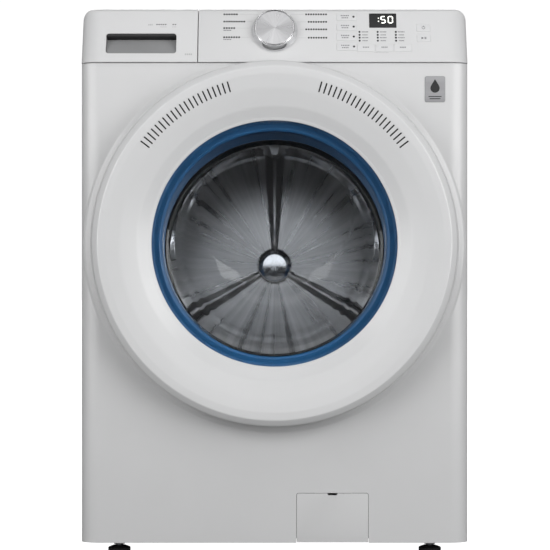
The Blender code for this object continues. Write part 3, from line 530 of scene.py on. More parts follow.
def combine(made, tools, operation="DIFFERENCE", sharp=35):
    """Cut tools from a piece, or join them to it."""
    for tool in tools:
        step = made.modifiers.new("combine", "BOOLEAN")
        step.object = tool
        step.operation = operation
        step.solver = "EXACT"
    bpy.context.view_layer.update()
    graph = bpy.context.evaluated_depsgraph_get()
    result = bpy.data.meshes.new_from_object(made.evaluated_get(graph))
    result.name = made.name
    made.modifiers.clear()
    made.data = result
    for tool in tools:
        bpy.data.objects.remove(tool, do_unlink=True)
    shade(made, sharp)
    return made


def stand(made, body, place=None, replaces=()):
    """Put a piece in place on a CAD body, for the CAD nodes that it stands for."""
    if place is not None:
        made.matrix_world = place
    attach(made, body)
    if replaces:
        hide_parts(*replaces)
    return made


def piece(name, mesh, finish, body, place=None, replaces=(), sharp=35):
    """A finished piece from a mesh."""
    return stand(loose(name, mesh, finish, sharp), body, place, replaces)


# ---------------------------------------------------------------- cabinet
def corner_points(steps=14):
    """(distance in from the side, distance back from the front) around a front corner."""
    points = []
    for step in range(steps + 1):
        angle = math.pi / 2 * step / steps
        points.append((CORNER_ACROSS * (1 - math.cos(angle)),
                       CORNER_DEEP * (1 - math.sin(angle))))
    return points


def make_front_panel():
    """The pressed front with rounded sides, a bead around the door, and its openings."""
    corner = corner_points()
    outer = [(-HALF_WIDTH, FRONT_RETURN_Y)]
    outer += [(-HALF_WIDTH + across, FRONT_Y + back) for across, back in corner]
    outer += [(HALF_WIDTH - across, FRONT_Y + back) for across, back in corner[::-1]]
    outer += [(HALF_WIDTH, FRONT_RETURN_Y)]
    share = (HALF_WIDTH - SHEET) / HALF_WIDTH
    inner = [(across * share, max(back, FRONT_Y) + SHEET) for across, back in outer]
    inner[0] = (-HALF_WIDTH + SHEET, FRONT_RETURN_Y)
    inner[-1] = (HALF_WIDTH - SHEET, FRONT_RETURN_Y)
    sheet = prism(outer + inner[::-1], "XY", BODY_BOTTOM, CONSOLE_BOTTOM - 0.0008)
    panel = loose("front_pressing", sheet, PAINT)

    surround_radius = 0.350
    window = loose("tool", moved(lathe([(0.0, FRONT_Y - 0.02), (surround_radius, FRONT_Y - 0.02),
                                        (surround_radius, FRONT_Y + 0.02),
                                        (0.0, FRONT_Y + 0.02)]), DOOR))
    above = loose("tool", block((-0.5, FRONT_Y - 0.03, CONSOLE_BOTTOM - 0.0008),
                                (0.5, FRONT_Y + 0.03, CONSOLE_BOTTOM + 0.1)))
    outline = rounded([
        (PANEL_OPENING_RADIUS, FRONT_Y + 0.010, 0.0), (PANEL_OPENING_RADIUS, FRONT_Y, 0.002),
        (0.312, FRONT_Y, 0.010), (0.319, FRONT_Y - 0.0038, 0.006),
        (0.3385, FRONT_Y - 0.0038, 0.005), (0.3460, FRONT_Y, 0.008),
        (surround_radius + 0.0004, FRONT_Y, 0.0),
        (surround_radius + 0.0004, FRONT_Y + SHEET, 0.0),
        (0.3460, FRONT_Y + SHEET, 0.006), (0.3380, FRONT_Y - 0.0026, 0.005),
        (0.3195, FRONT_Y - 0.0026, 0.005), (0.312, FRONT_Y + SHEET, 0.010),
        (PANEL_OPENING_RADIUS + SHEET, FRONT_Y + SHEET, 0.001),
        (PANEL_OPENING_RADIUS + SHEET, FRONT_Y + 0.010, 0.0),
    ])
    segments = 192
    bead = lathe(outline, segments)
    outer_edge = max(range(len(outline)), key=lambda index: outline[index][0])
    for index, vert in enumerate(bead.verts):
        radius = math.hypot(vert.co.x, vert.co.z)
        level = FRONT_Y if index // segments <= outer_edge else FRONT_Y + SHEET
        if radius > 0.300:
            stays = 1.0 - ease((vert.co.z / radius - 0.86) / 0.12)
            vert.co.y = level + (vert.co.y - level) * stays
    surround = loose("tool", moved(bead, DOOR))
    combine(surround, [above])
    combine(panel, [window])
    combine(panel, [surround], "UNION")

    low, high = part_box("filter_hatch")
    hatch = rounded([(low.x - 0.0006, BODY_BOTTOM - 0.02, 0.0),
                     (high.x + 0.0006, BODY_BOTTOM - 0.02, 0.0),
                     (high.x + 0.0006, high.z + 0.0008, 0.004),
                     (low.x - 0.0006, high.z + 0.0008, 0.004)])
    low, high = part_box("door_strike")
    slot = rounded_rectangle((low.x + high.x) / 2 + 0.001, DOOR_CENTRE_Z, 0.020, 0.030, 0.003)
    tools = [loose("tool", prism(outline, "XZ", FRONT_Y - 0.02, FRONT_Y + 0.02))
             for outline in (hatch, slot)]
    combine(panel, tools)
    stand(panel, "cabinet", replaces=["front_panel"])


def pressed_sheet(name, spans, level, thickness, relief, plane, finish):
    """A sheet with relief pressed into it: spans give its two directions' grid lines."""
    first, second = spans
    mesh = bmesh.new()
    places = {
        "YZ": lambda a, b, off: (level + off, a, b),
        "XZ": lambda a, b, off: (a, level + off, b),
        "XY": lambda a, b, off: (a, b, level + off),
    }
    place = places[plane]
    layers = []
    for off in (0.0, thickness):
        layers.append([[mesh.verts.new(place(a, b, off + relief(a, b))) for b in second]
                       for a in first])
    for layer, flip in ((layers[0], False), (layers[1], True)):
        for column, after in zip(layer, layer[1:]):
            for row in range(len(second) - 1):
                corners = [column[row], after[row], after[row + 1], column[row + 1]]
                mesh.faces.new(corners[::-1] if flip else corners)
    front, back = layers
    edges = [
        ([column[0] for column in front], [column[0] for column in back]),
        ([column[-1] for column in front], [column[-1] for column in back]),
        (front[0], back[0]),
        (front[-1], back[-1]),
    ]
    for near, far in edges:
        for step in range(len(near) - 1):
            mesh.faces.new((near[step], far[step], far[step + 1], near[step + 1]))
    return loose(name, mesh, finish, 50)


def grid_lines(low, high, marks, spread=0.0012, coarse=12):
    """Grid lines from low to high, close together around each mark."""
    lines = {low, high}
    for step in range(coarse + 1):
        lines.add(low + (high - low) * step / coarse)
    for mark in marks:
        for step in range(-6, 7):
            lines.add(mark + step * spread)
    kept = sorted(line for line in lines if low <= line <= high)
    spaced = [kept[0]]
    for line in kept[1:]:
        if line - spaced[-1] > spread * 0.4:
            spaced.append(line)
    spaced[-1] = high
    return spaced


def ease(value):
    """Smooth step from 0 to 1."""
    value = min(1.0, max(0.0, value))
    return value * value * (3 - 2 * value)


def field(first, second, centre, size, corner, edge):
    """1 inside a rounded rectangle and 0 outside, easing over the width edge."""
    reach = Vector((abs(first - centre[0]) - size[0] / 2 + corner,
                    abs(second - centre[1]) - size[1] / 2 + corner))
    outside = Vector((max(reach.x, 0.0), max(reach.y, 0.0))).length
    distance = outside + min(max(reach.x, reach.y), 0.0) - corner
    return ease(0.5 - distance / edge)


def make_side_panels():
    """Flat sides with a shallow pressed field and two stiffening grooves."""
    middle = (0.035, 0.500)
    size = (0.560, 0.780)
    for side, sign in (("left", -1), ("right", 1)):
        def relief(along, up, sign=sign):
            depth = 0.0022 * field(along, up, middle, size, 0.05, 0.016)
            for groove in (0.33, 0.67):
                depth += 0.0028 * field(along, up, (0.035, groove), (0.430, 0.020), 0.010, 0.010)
            return -sign * depth

        low_y, high_y = FRONT_RETURN_Y + 0.0003, BACK_Y - 0.0023
        marks_y = [middle[0] - size[0] / 2, middle[0] + size[0] / 2, -0.18, 0.25]
        marks_z = [middle[1] - size[1] / 2, middle[1] + size[1] / 2, 0.32, 0.34, 0.66, 0.68]
        spans = (grid_lines(low_y, high_y, marks_y, 0.0025, 24),
                 grid_lines(0.030, TOP_PANEL_BOTTOM - 0.0003, marks_z, 0.0025, 24))
        level = HALF_WIDTH if sign > 0 else -HALF_WIDTH
        sheet = pressed_sheet(f"side_pressing_{side}", spans, level, -sign * SHEET, relief, "YZ",
                              PAINT)
        notch = loose("tool", block((-0.5, -0.4, CONSOLE_BOTTOM - 0.0003),
                                    (0.5, CONSOLE_BACK_Y + 0.0003, 1.1)))
        combine(sheet, [notch], sharp=50)
        stand(sheet, "cabinet", replaces=[f"side_panel_{side}"])


# The middle and the size of the cover over the drum pulley.
REAR_COVER = ((0.0, 0.400), (0.460, 0.560))


def make_rear_panel():
    """The zinc rear sheet: a pressed field behind the pulley, vents, ports and screws."""
    def relief(across, up):
        depth = 0.0020 * field(across, up, (0.0, 0.845), (0.600, 0.030), 0.015, 0.010)
        depth += 0.0020 * field(across, up, (0.0, 0.075), (0.560, 0.024), 0.012, 0.010)
        return -depth

    spans = (grid_lines(-HALF_WIDTH, HALF_WIDTH, [-0.300, 0.300, -0.280, 0.280], 0.0025, 24),
             grid_lines(0.030, TOP_PANEL_BOTTOM - 0.0003, [0.830, 0.860, 0.063, 0.087],
                        0.0025, 24))
    sheet = pressed_sheet("rear_sheet", spans, BACK_Y, -SHEET, relief, "XZ", ZINC)
    tools = []
    for across, up in ((0.175, 0.928), (0.225, 0.928), (-0.250, 0.900)):
        tools.append(rear_rod(across, up, 0.0145))
    for row in range(6):
        for column in range(10):
            across = -0.135 + column * 0.014
            slot = rounded_rectangle(across, 0.880 + row * 0.010, 0.009, 0.003, 0.0014, 3)
            tools.append(prism(slot, "XZ", BACK_Y - 0.02, BACK_Y + 0.02))
    combine(sheet, [loose("tool", join(tools))], sharp=50)
    stand(sheet, "cabinet", replaces=["rear_panel"])

    (across, up), (width, height) = REAR_COVER
    cover = prism(rounded_rectangle(across, up, width, height, 0.045, 8), "XZ", BACK_Y + 0.0002,
                  BACK_Y + 0.0016)
    soften(cover, 0.0006)
    rim = prism(rounded_rectangle(across, up, width - 0.050, height - 0.050, 0.035, 8), "XZ",
                BACK_Y + 0.0012, BACK_Y + 0.0060)
    soften(rim, 0.0035, lambda edge: all(vert.co.y > BACK_Y + 0.004 for vert in edge.verts), 5)
    lid = loose("rear_service_cover", cover, ZINC)
    combine(lid, [loose("tool", rim)], "UNION")
    stand(lid, "cabinet")

    spots = [(across + turn * (width / 2 - 0.011), up + rise * (height / 2 - 0.05))
             for turn in (-1, 1) for rise in (-1, 0, 1)]
    spots += [(turn * 0.10, up + rise * (height / 2 - 0.011))
              for turn in (-1, 1) for rise in (-1, 1)]
    spots += [(turn * 0.342, rise) for turn in (-1, 1) for rise in (0.05, 0.28, 0.52, 0.76, 0.96)]
    screws = [screw_head(0.0042) for _ in spots]
    for mesh, (along, rise) in zip(screws, spots):
        moved(mesh, Matrix.Translation((along, BACK_Y + 0.0002, rise)))
    piece("rear_screws", join(screws), STEEL, "cabinet")

    caps = []
    for across in (-0.2989, 0.2989):
        for up in (0.250, 0.640):
            outline = rounded([(0.0, 0.0, 0.0), (0.017, 0.0, 0.001), (0.017, 0.0025, 0.001),
                               (0.012, 0.0045, 0.002), (0.0, 0.0048, 0.0)])
            spot = Matrix.Translation((across, BACK_Y + 0.0002, up))
            caps.append(moved(lathe(outline, 40), spot))
    piece("transit_bolt_plugs", join(caps), DARK, "cabinet")


def rear_rod(across, up, radius):
    """A rod through the rear panel."""
    outline = [(0.0, -0.02), (radius, -0.02), (radius, 0.02), (0.0, 0.02)]
    return moved(lathe(outline, 48), Matrix.Translation((across, BACK_Y, up)))


def screw_head(radius):
    """A domed screw head with a cross recess, standing out along +Y from the origin."""
    dome = rounded([(0.0, 0.0, 0.0), (radius, 0.0, 0.0), (radius * 0.97, radius * 0.30, 0.0003),
                    (radius * 0.5, radius * 0.55, 0.0008), (0.0, radius * 0.58, 0.0)], 3)
    head = lathe(dome, 24)
    bars = []
    for turn in (0.0, math.pi / 2):
        bar = block((-radius * 0.55, radius * 0.25, -radius * 0.10),
                    (radius * 0.55, radius, radius * 0.10))
        bars.append(moved(bar, Matrix.Rotation(turn, 4, "Y")))
    head_object = loose("screw", head)
    for bar in bars:
        combine(head_object, [loose("tool", bar)])
    mesh = bmesh.new()
    mesh.from_mesh(head_object.data)
    bpy.data.objects.remove(head_object, do_unlink=True)
    return mesh


def make_top_panel():
    """The lid with softly rounded long edges and a very shallow pressed field."""
    side = [(TOP_CORNER * (1 - math.cos(math.pi / 2 * step / 10)),
             TOP_CORNER * (1 - math.sin(math.pi / 2 * step / 10))) for step in range(11)]
    outline = [(-HALF_WIDTH, TOP_PANEL_BOTTOM)]
    outline += [(-HALF_WIDTH + across, HEIGHT - down) for across, down in side]
    outline += [(HALF_WIDTH - across, HEIGHT - down) for across, down in side[::-1]]
    outline += [(HALF_WIDTH, TOP_PANEL_BOTTOM)]
    mesh = prism(outline, "XZ", CONSOLE_BACK_Y + 0.0005, BACK_Y)
    soften(mesh, 0.0012)
    lid = loose("top_lid", mesh, PAINT)
    middle = (CONSOLE_BACK_Y + BACK_Y) / 2
    pan = block((-0.300, middle - 0.285, HEIGHT - 0.0016), (0.300, middle + 0.285, HEIGHT + 0.01))
    uprights = [edge for edge in pan.edges
                if abs(edge.verts[0].co.z - edge.verts[1].co.z) > 0.005]
    bmesh.ops.bevel(pan, geom=uprights, offset=0.04, segments=8, profile=0.5, affect="EDGES")
    soften(pan, 0.0012, lambda edge: all(vert.co.z < HEIGHT for vert in edge.verts))
    hollow = block((-HALF_WIDTH + 0.002, CONSOLE_BACK_Y + 0.002, TOP_PANEL_BOTTOM - 0.01),
                   (HALF_WIDTH - 0.002, BACK_Y - 0.002, HEIGHT - 0.0235))
    combine(lid, [loose("tool", pan), loose("tool", hollow)])
    stand(lid, "cabinet", replaces=["top_panel"])


def make_hatch():
    """The pump hatch: rounded top corners, softened rim and a finger notch."""
    low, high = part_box("filter_hatch")
    outline = rounded([(low.x, low.z, 0.0015), (high.x, low.z, 0.0015), (high.x, high.z, 0.0035),
                       (low.x, high.z, 0.0035)])
    mesh = prism(outline, "XZ", FRONT_Y - 0.0002, FRONT_Y + 0.0024)
    soften(mesh, 0.0007)
    flap = loose("hatch_flap", mesh, PAINT)
    middle = (low.x + high.x) / 2
    notch = prism(rounded_rectangle(middle, high.z, 0.018, 0.007, 0.003), "XZ", FRONT_Y - 0.01,
                  FRONT_Y + 0.01)
    combine(flap, [loose("tool", notch)])
    stand(flap, "hatch", replaces=["filter_hatch"])


def make_filter():
    """The drain filter: a ribbed cap with a grip bar across it."""
    low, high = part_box("pump_filter")
    centre = Matrix.Translation(((low.x + high.x) / 2, 0.0, (low.z + high.z) / 2))
    outline = rounded([(0.0, -0.3000, 0.0), (0.0290, -0.3000, 0.0012), (0.0308, -0.2980, 0.0008),
                       (0.0308, -0.2855, 0.0), (0.0, -0.2855, 0.0)])
    mesh = lathe(outline, 96)
    for vert in mesh.verts:
        reach = math.hypot(vert.co.x, vert.co.z)
        if reach > 0.0300:
            turn = math.atan2(vert.co.x, vert.co.z)
            share = (reach - 0.0006 * (1 + math.cos(24 * turn))) / reach
            vert.co.x *= share
            vert.co.z *= share
    grip = block((-0.0255, low.y + 0.0002, -0.0040), (0.0255, -0.2990, 0.0040), 0.0018)
    cap = loose("filter_cap", mesh, GREY)
    combine(cap, [loose("tool", grip)], "UNION")
    stand(cap, "filter", centre, ["pump_filter"])


def make_feet():
    """Levelling feet: a rubber pad, a hex lock nut and a threaded stem."""
    for name in ("front_left", "front_right", "rear_left", "rear_right"):
        low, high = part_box(f"foot_{name}")
        place = Matrix.Translation(((low.x + high.x) / 2, (low.y + high.y) / 2, 0.0))
        pad = rounded([(0.0, 0.0, 0.0), (0.0190, 0.0, 0.001), (0.0208, 0.0030, 0.001),
                       (0.0208, 0.0090, 0.0015), (0.0120, 0.0124, 0.001), (0.0, 0.0124, 0.0)])
        piece(f"foot_pad_{name}", lathe(pad, 48, "Z"), RUBBER, f"levelling_{name}",
              place, [f"foot_{name}"])
        thread = [(0.0, 0.0122), (0.0056, 0.0122)]
        turns = 36
        pitch = (high.z - 0.0135) / turns
        for turn in range(turns):
            base = 0.0130 + turn * pitch
            thread += [(0.0060, base + pitch * 0.25), (0.0052, base + pitch * 0.75)]
        thread += [(0.0050, high.z - 0.0002), (0.0, high.z - 0.0002)]
        stem = lathe(thread, 32, "Z")
        hexagon = [(0.0105 * math.cos(math.pi / 3 * step), 0.0105 * math.sin(math.pi / 3 * step))
                   for step in range(6)]
        nut = prism(hexagon, "XY", 0.0150, 0.0205)
        soften(nut, 0.0006)
        piece(f"foot_stem_{name}", join([stem, nut]), STEEL, f"levelling_{name}", place)


# ---------------------------------------------------------------- console
def console_ring(along, inset, drop):
    """The console's side outline at x = along, its front moved in by inset and its top by drop."""
    slope = math.tan(CONSOLE_TILT)
    shift = inset / math.cos(CONSOLE_TILT)
    top = HEIGHT - drop
    front_bottom = CONSOLE_FRONT_Y + shift
    front_top = front_bottom + (top - CONSOLE_BOTTOM) * slope
    crest = max(0.004, CREST_RADIUS - 0.5 * inset)
    edge = 0.0010
    outline = rounded([(front_bottom, CONSOLE_BOTTOM, edge), (CONSOLE_BACK_Y, CONSOLE_BOTTOM, 0.0),
                       (CONSOLE_BACK_Y, top, 0.0), (front_top, top, crest)], 8)
    return [(along, back, up) for back, up in outline]


def top_drop(across):
    """How far a rounded top corner has dropped at a distance in from the side."""
    reach = max(0.0, TOP_CORNER - across)
    return TOP_CORNER - math.sqrt(TOP_CORNER ** 2 - reach ** 2)


def console_body(start, end, round_left, round_right):
    """A length of console with an elliptical round at one end and a fine edge at the other."""
    stations = []
    for edge, sign, is_round in ((start, 1, round_left), (end, -1, round_right)):
        if is_round:
            spots = [(edge + sign * across, back, top_drop(across))
                     for across, back in corner_points(18)]
        else:
            spots = [(edge, 0.0008, 0.0008), (edge + sign * 0.0003, 0.0003, 0.0003),
                     (edge + sign * 0.0010, 0.0, 0.0)]
        stations.append(spots)
    left, right = stations
    mesh = bmesh.new()
    rings = [[mesh.verts.new(spot) for spot in console_ring(along, inset, drop)]
             for along, inset, drop in left + right[::-1]]
    skin(mesh, rings, along=False)
    mesh.faces.new(rings[0][::-1])
    mesh.faces.new(rings[-1])
    return mesh


def face_plate(across, up, width, height, corner, near, far, soft=0.0):
    """A rounded plate in the console face's frame between two depths."""
    mesh = prism(rounded_rectangle(across, up, width, height, corner), "XZ", near, far)
    if soft:
        soften(mesh, soft, lambda edge: all(vert.co.y < near + 1e-5 for vert in edge.verts), 3)
    return mesh


def make_console():
    """The fascia right of the drawer with pockets for its keys, display and knob."""
    body = console_body(DRAWER_SEAM_X + 0.0007, HALF_WIDTH, False, True)
    shell = loose("console_shell", body, CONSOLE_PAINT)
    pockets = [face_plate(across, up, width + 0.0003, KEY_HEIGHT + 0.0003, 0.0021, -0.01, 0.0052)
               for _, across, up, width in KEYS]
    pockets.append(face_plate(DISPLAY_X, DISPLAY_UP, 0.0504, 0.0299, 0.0010, -0.01, 0.0045))
    outline = [(0.0, -0.01), (0.0065, -0.01), (0.0065, 0.014), (0.0, 0.014)]
    pockets.append(moved(lathe(outline, 48), Matrix.Translation((0.0, 0.0, KNOB_UP))))
    tool = loose("tool", join(pockets))
    tool.matrix_world = FACE
    combine(shell, [tool])
    stand(shell, "cabinet", replaces=["console_fascia"])


def make_keys():
    """Nine flush keys with softened rims, each with its printed mark."""
    for name, across, up, width in KEYS:
        mesh = face_plate(across, up, width, KEY_HEIGHT, 0.0020, -0.0004, 0.0036, 0.0003)
        piece(f"{name}_top", mesh, KEY_PAINT, f"{name}_cap", FACE, [name])
        marks = []
        if name.startswith("option"):
            marks += word(across - 0.0030, up + 0.0024, 0.0160, 0.0021, 5)
            marks += word(across - 0.0030, up - 0.0022, 0.0130, 0.0021, 4)
        elif name.startswith("setting"):
            marks += word(across, up + 0.0010, 0.0120, 0.0022, 4)
        elif name == "power_key":
            marks.append(ring_mark(across, up, 0.0030, 0.0022))
            marks.append(face_plate(across, up + 0.0030, 0.0008, 0.0030, 0.0003, -0.00075, 0.0))
        else:
            arrow = [(across - 0.0042, up - 0.0024), (across - 0.0042, up + 0.0024),
                     (across - 0.0002, up)]
            marks.append(prism(arrow, "XZ", -0.00075, 0.0))
            for shift in (0.0022, 0.0040):
                marks.append(face_plate(across + shift, up, 0.0010, 0.0044, 0.0003, -0.00075, 0.0))
        ink = INK if name == "start_key" else KEY_INK
        piece(f"{name}_mark", join(marks), ink, f"{name}_cap", FACE)


def word(across, up, width, height, letters, near=-0.00075):
    """A row of short dashes that stands in for a printed word, about its middle."""
    pitch = width / letters
    marks = []
    for index in range(letters):
        spot = across - width / 2 + pitch * (index + 0.5)
        marks.append(face_plate(spot, up, pitch * 0.72, height, height * 0.3, near, near + 0.0006))
    return marks


def ring_mark(across, up, outer, inner):
    """A printed ring."""
    outline = [(inner, -0.00075), (outer, -0.00075), (outer, -0.0001), (inner, -0.0001)]
    return moved(lathe(outline, 40), Matrix.Translation((across, 0.0, up)))


def make_console_print():
    """The printed marks of the fascia: dashes for words, leader lines and lamp windows."""
    near = -0.00010
    dark = []
    fine = []
    pale = []
    label_ups = {-1: (0.0987, 0.0836, 0.0701, 0.0511), 1: (0.0987, 0.0830, 0.0675, 0.0501)}
    letters = {-1: (6, 9, 5, 7), 1: (9, 8, 9, 8)}
    for side, ups in label_ups.items():
        for up, count in zip(ups, letters[side]):
            width = 0.0046 * count
            if side < 0:
                middle = -0.0951 + width / 2
            else:
                middle = 0.0975 - width / 2
            dark += word(middle, up, width, 0.0034, count, near)
            inner = 0.0445
            lift = up - KNOB_UP
            reach = math.sqrt(max(inner ** 2 - lift ** 2, 0.012 ** 2))
            start = side * (reach + 0.002)
            end = middle - side * (width / 2 + 0.002)
            pale.append(face_plate((start + end) / 2, up, abs(end - start), 0.0004, 0.0001, near,
                                   0.0005))
    for up in (0.0655, 0.0465):
        fine += word(-0.0870, up, 0.0150, 0.0019, 5, near)
    for column in range(3):
        across = 0.1565 + 0.03345 * column
        for row, up in enumerate((0.0622, 0.0560, 0.0502, 0.0440)):
            dark.append(face_plate(across, up, 0.0038, 0.0038, 0.0018, near - 0.0001, 0.0005))
            fine += word(across + 0.0100, up, 0.0125 - 0.0024 * (row % 2), 0.0019, 5, near)
    for _, across, up, _ in OPTION_KEYS:
        dark.append(face_plate(across + 0.0131, up, 0.0040, 0.0040, 0.0019, -0.00065, -0.0003))
    pale += word(0.1960, 0.0195, 0.0260, 0.0011, 10, near)
    piece("console_print", join(dark), BLACK_PRINT_AND_SHADOW, "cabinet", FACE)
    piece("console_fine_print", join(fine), INK, "cabinet", FACE)
    piece("console_leader_lines", join(pale), PALE_INK, "cabinet", FACE)


# The lit bars of each digit, by the letters that digit() gives them.
SEGMENTS = {"0": "abcdef", "5": "acdfg"}


def digit(character, across, up, width, height):
    """The lit bars of a seven-bar digit about its middle."""
    thick = 0.0019
    half_width, half_height = width / 2, height / 2
    bars = {
        "a": (0.0, half_height, width - thick, thick),
        "d": (0.0, -half_height, width - thick, thick),
        "g": (0.0, 0.0, width - thick, thick),
        "b": (half_width, half_height / 2, thick, half_height - thick * 0.5),
        "c": (half_width, -half_height / 2, thick, half_height - thick * 0.5),
        "f": (-half_width, half_height / 2, thick, half_height - thick * 0.5),
        "e": (-half_width, -half_height / 2, thick, half_height - thick * 0.5),
    }
    marks = []
    for key in SEGMENTS[character]:
        shift, lift, wide, tall = bars[key]
        marks.append(face_plate(across + shift, up + lift, wide, tall, thick * 0.3, -0.00045,
                                -0.0001))
    return marks


def make_display():
    """The dark window with its lit colon and two digits."""
    window = face_plate(DISPLAY_X, DISPLAY_UP, 0.0500, 0.0295, 0.0008, -0.0003, 0.0040, 0.0003)
    piece("display_pane", window, BLACK_PRINT_AND_SHADOW, "cabinet", FACE, ["display_window"])
    lit = digit("5", 0.2004, 0.0874, 0.0078, 0.0132)
    lit += digit("0", 0.2140, 0.0874, 0.0078, 0.0132)
    for lift in (-0.0032, 0.0032):
        lit.append(face_plate(0.1920, 0.0874 + lift, 0.0020, 0.0020, 0.0007, -0.00045, -0.0001))
    piece("display_digits", join(lit), GLOW, "cabinet", FACE)


def make_knob():
    """The selector: a flared chrome skirt with a raised rim, and a spun cap inside it."""
    place = FACE @ Matrix.Translation((0.0, 0.0, KNOB_UP))
    body_outline = rounded([
        (0.0, 0.0120, 0.0), (0.0060, 0.0120, 0.0005), (0.0060, -0.0095, 0.0),
        (0.0345, -0.0095, 0.0), (0.0390, -0.0006, 0.0), (0.0415, -0.0006, 0.0005),
        (0.0425, -0.0020, 0.0008), (0.0414, -0.0046, 0.004), (0.0378, -0.0112, 0.003),
        (0.0371, -0.0138, 0.0005), (0.0362, -0.0146, 0.0004), (0.0355, -0.0138, 0.0003),
        (0.0354, -0.0120, 0.0), (0.0, -0.0120, 0.0),
    ], 5)
    piece("knob_skirt", lathe(body_outline, 160), CHROME, "knob", place, ["knob_body"])
    cap_outline = rounded([
        (0.0, -0.0121, 0.0), (0.0349, -0.0121, 0.0), (0.0349, -0.0134, 0.0005),
        (0.0340, -0.0140, 0.0005), (0.0, -0.0134, 0.0),
    ], 4)
    cap = piece("knob_disc", lathe(cap_outline, 160), CAP_STEEL, "knob", place,
                ["knob_cap"])
    cap.data.set_sharp_from_angle(angle=math.radians(30))


def make_drawer():
    """The drawer's front with its finger pocket, its marks, and the three-room tray."""
    body = console_body(-HALF_WIDTH, DRAWER_SEAM_X - 0.0007, True, False)
    front = loose("drawer_face", body, CONSOLE_PAINT)
    hollow = loose("tool", block((-0.345, -0.308, CONSOLE_BOTTOM + 0.003),
                                 (DRAWER_SEAM_X - 0.0045, -0.250, 0.988), 0.004))
    pocket = face_plate(POCKET_X, POCKET_UP, POCKET_WIDTH, POCKET_HEIGHT, 0.0055, -0.02,
                        POCKET_DEPTH)
    pocket_tool = loose("tool", pocket)
    pocket_tool.matrix_world = FACE
    combine(front, [hollow, pocket_tool])
    stand(front, "drawer", replaces=["drawer_front"])

    half = POCKET_WIDTH / 2 - 0.0004
    top = POCKET_UP + POCKET_HEIGHT / 2
    bottom = POCKET_UP - POCKET_HEIGHT / 2 + 0.0004
    ramp = [(0.0012, bottom), (POCKET_DEPTH - 0.0002, bottom), (POCKET_DEPTH - 0.0002, top - 0.0052),
            (0.0150, top - 0.0056)]
    mesh = prism(ramp, "YZ", POCKET_X - half, POCKET_X + half)
    soften(mesh, 0.0010)
    piece("drawer_pull_ramp", mesh, POCKET_GREY, "drawer", FACE)
    # A black block across the top of the finger pocket: painted shadow for the deep dark of the grip
    # above the ramp.
    shadow_block = [(0.0024, top - 0.0046), (POCKET_DEPTH - 0.0002, top - 0.0046),
             (POCKET_DEPTH - 0.0002, top - 0.0004), (0.0012, top - 0.0004)]
    mesh = prism(shadow_block, "YZ", POCKET_X - half, POCKET_X + half)
    piece("drawer_pull_painted_shadow", mesh, BLACK_PRINT_AND_SHADOW, "drawer", FACE)

    near = -0.00010
    marks = word(-0.2090, 0.0775, 0.0200, 0.0022, 5, near)
    marks += word(-0.1850, 0.0775, 0.0080, 0.0022, 2, near)
    piece("drawer_print", join(marks), INK, "drawer", FACE)
    marks = word(-0.2290, 0.0770, 0.0090, 0.0030, 3, near)
    marks += word(-0.2050, 0.0725, 0.0120, 0.0012, 5, near)
    marks += word(-0.1850, 0.0725, 0.0080, 0.0012, 3, near)
    marks += word(-0.1580, 0.0160, 0.0140, 0.0036, 4, near)
    piece("drawer_fine_print", join(marks), PALE_INK, "drawer", FACE)

    low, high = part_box("drawer_tray")
    tray = loose("soap_tray", block(low, high, 0.0025), WHITE)
    wall = 0.003
    divide_x, divide_y = -0.235, -0.170
    rooms = [
        (low.x + wall, low.y + wall, divide_x - wall, high.y - wall),
        (divide_x, low.y + wall, high.x - wall, divide_y - wall),
        (divide_x, divide_y, high.x - wall, high.y - wall),
    ]
    tools = []
    for left, near_y, right, far_y in rooms:
        outline = rounded_rectangle((left + right) / 2, (near_y + far_y) / 2, right - left,
                                    far_y - near_y, 0.008)
        room = prism(outline, "XY", low.z + wall, high.z + 0.02)
        soften(room, 0.004, lambda edge: all(vert.co.z < 0.93 for vert in edge.verts), 4)
        tools.append(loose("tool", room))
    combine(tray, tools)
    stand(tray, "drawer", replaces=["drawer_tray"])


def make_badge():
    """A brushed plate with a generic water drop, stuck on the front panel."""
    across, up, width, height = 0.294, 0.8575, 0.0375, 0.0480
    rim = prism(rounded_rectangle(across, up, width, height, 0.0035), "XZ", FRONT_Y - 0.0008,
                FRONT_Y - 0.0001)
    soften(rim, 0.0003)
    plate = prism(rounded_rectangle(across, up, width - 0.0030, height - 0.0030, 0.0025), "XZ",
                  FRONT_Y - 0.0010, FRONT_Y - 0.0006)
    piece("badge_rim", rim, GREY, "cabinet")
    piece("badge_plate", plate, BADGE_STEEL, "cabinet")
    drop = [(across, up + 0.0185)]
    for step in range(25):
        angle = math.radians(32 - 244 * step / 24)
        drop.append((across + 0.0085 * math.cos(angle), up + 0.0020 + 0.0085 * math.sin(angle)))
    marks = [prism(drop, "XZ", FRONT_Y - 0.0012, FRONT_Y - 0.0009)]
    for row, wide in enumerate((0.0240, 0.0200)):
        bar = rounded_rectangle(across, up - 0.0135 - 0.0040 * row, wide, 0.0016, 0.0006, 3)
        marks.append(prism(bar, "XZ", FRONT_Y - 0.0012, FRONT_Y - 0.0009))
    piece("badge_mark", join(marks), BLACK_PRINT_AND_SHADOW, "cabinet")


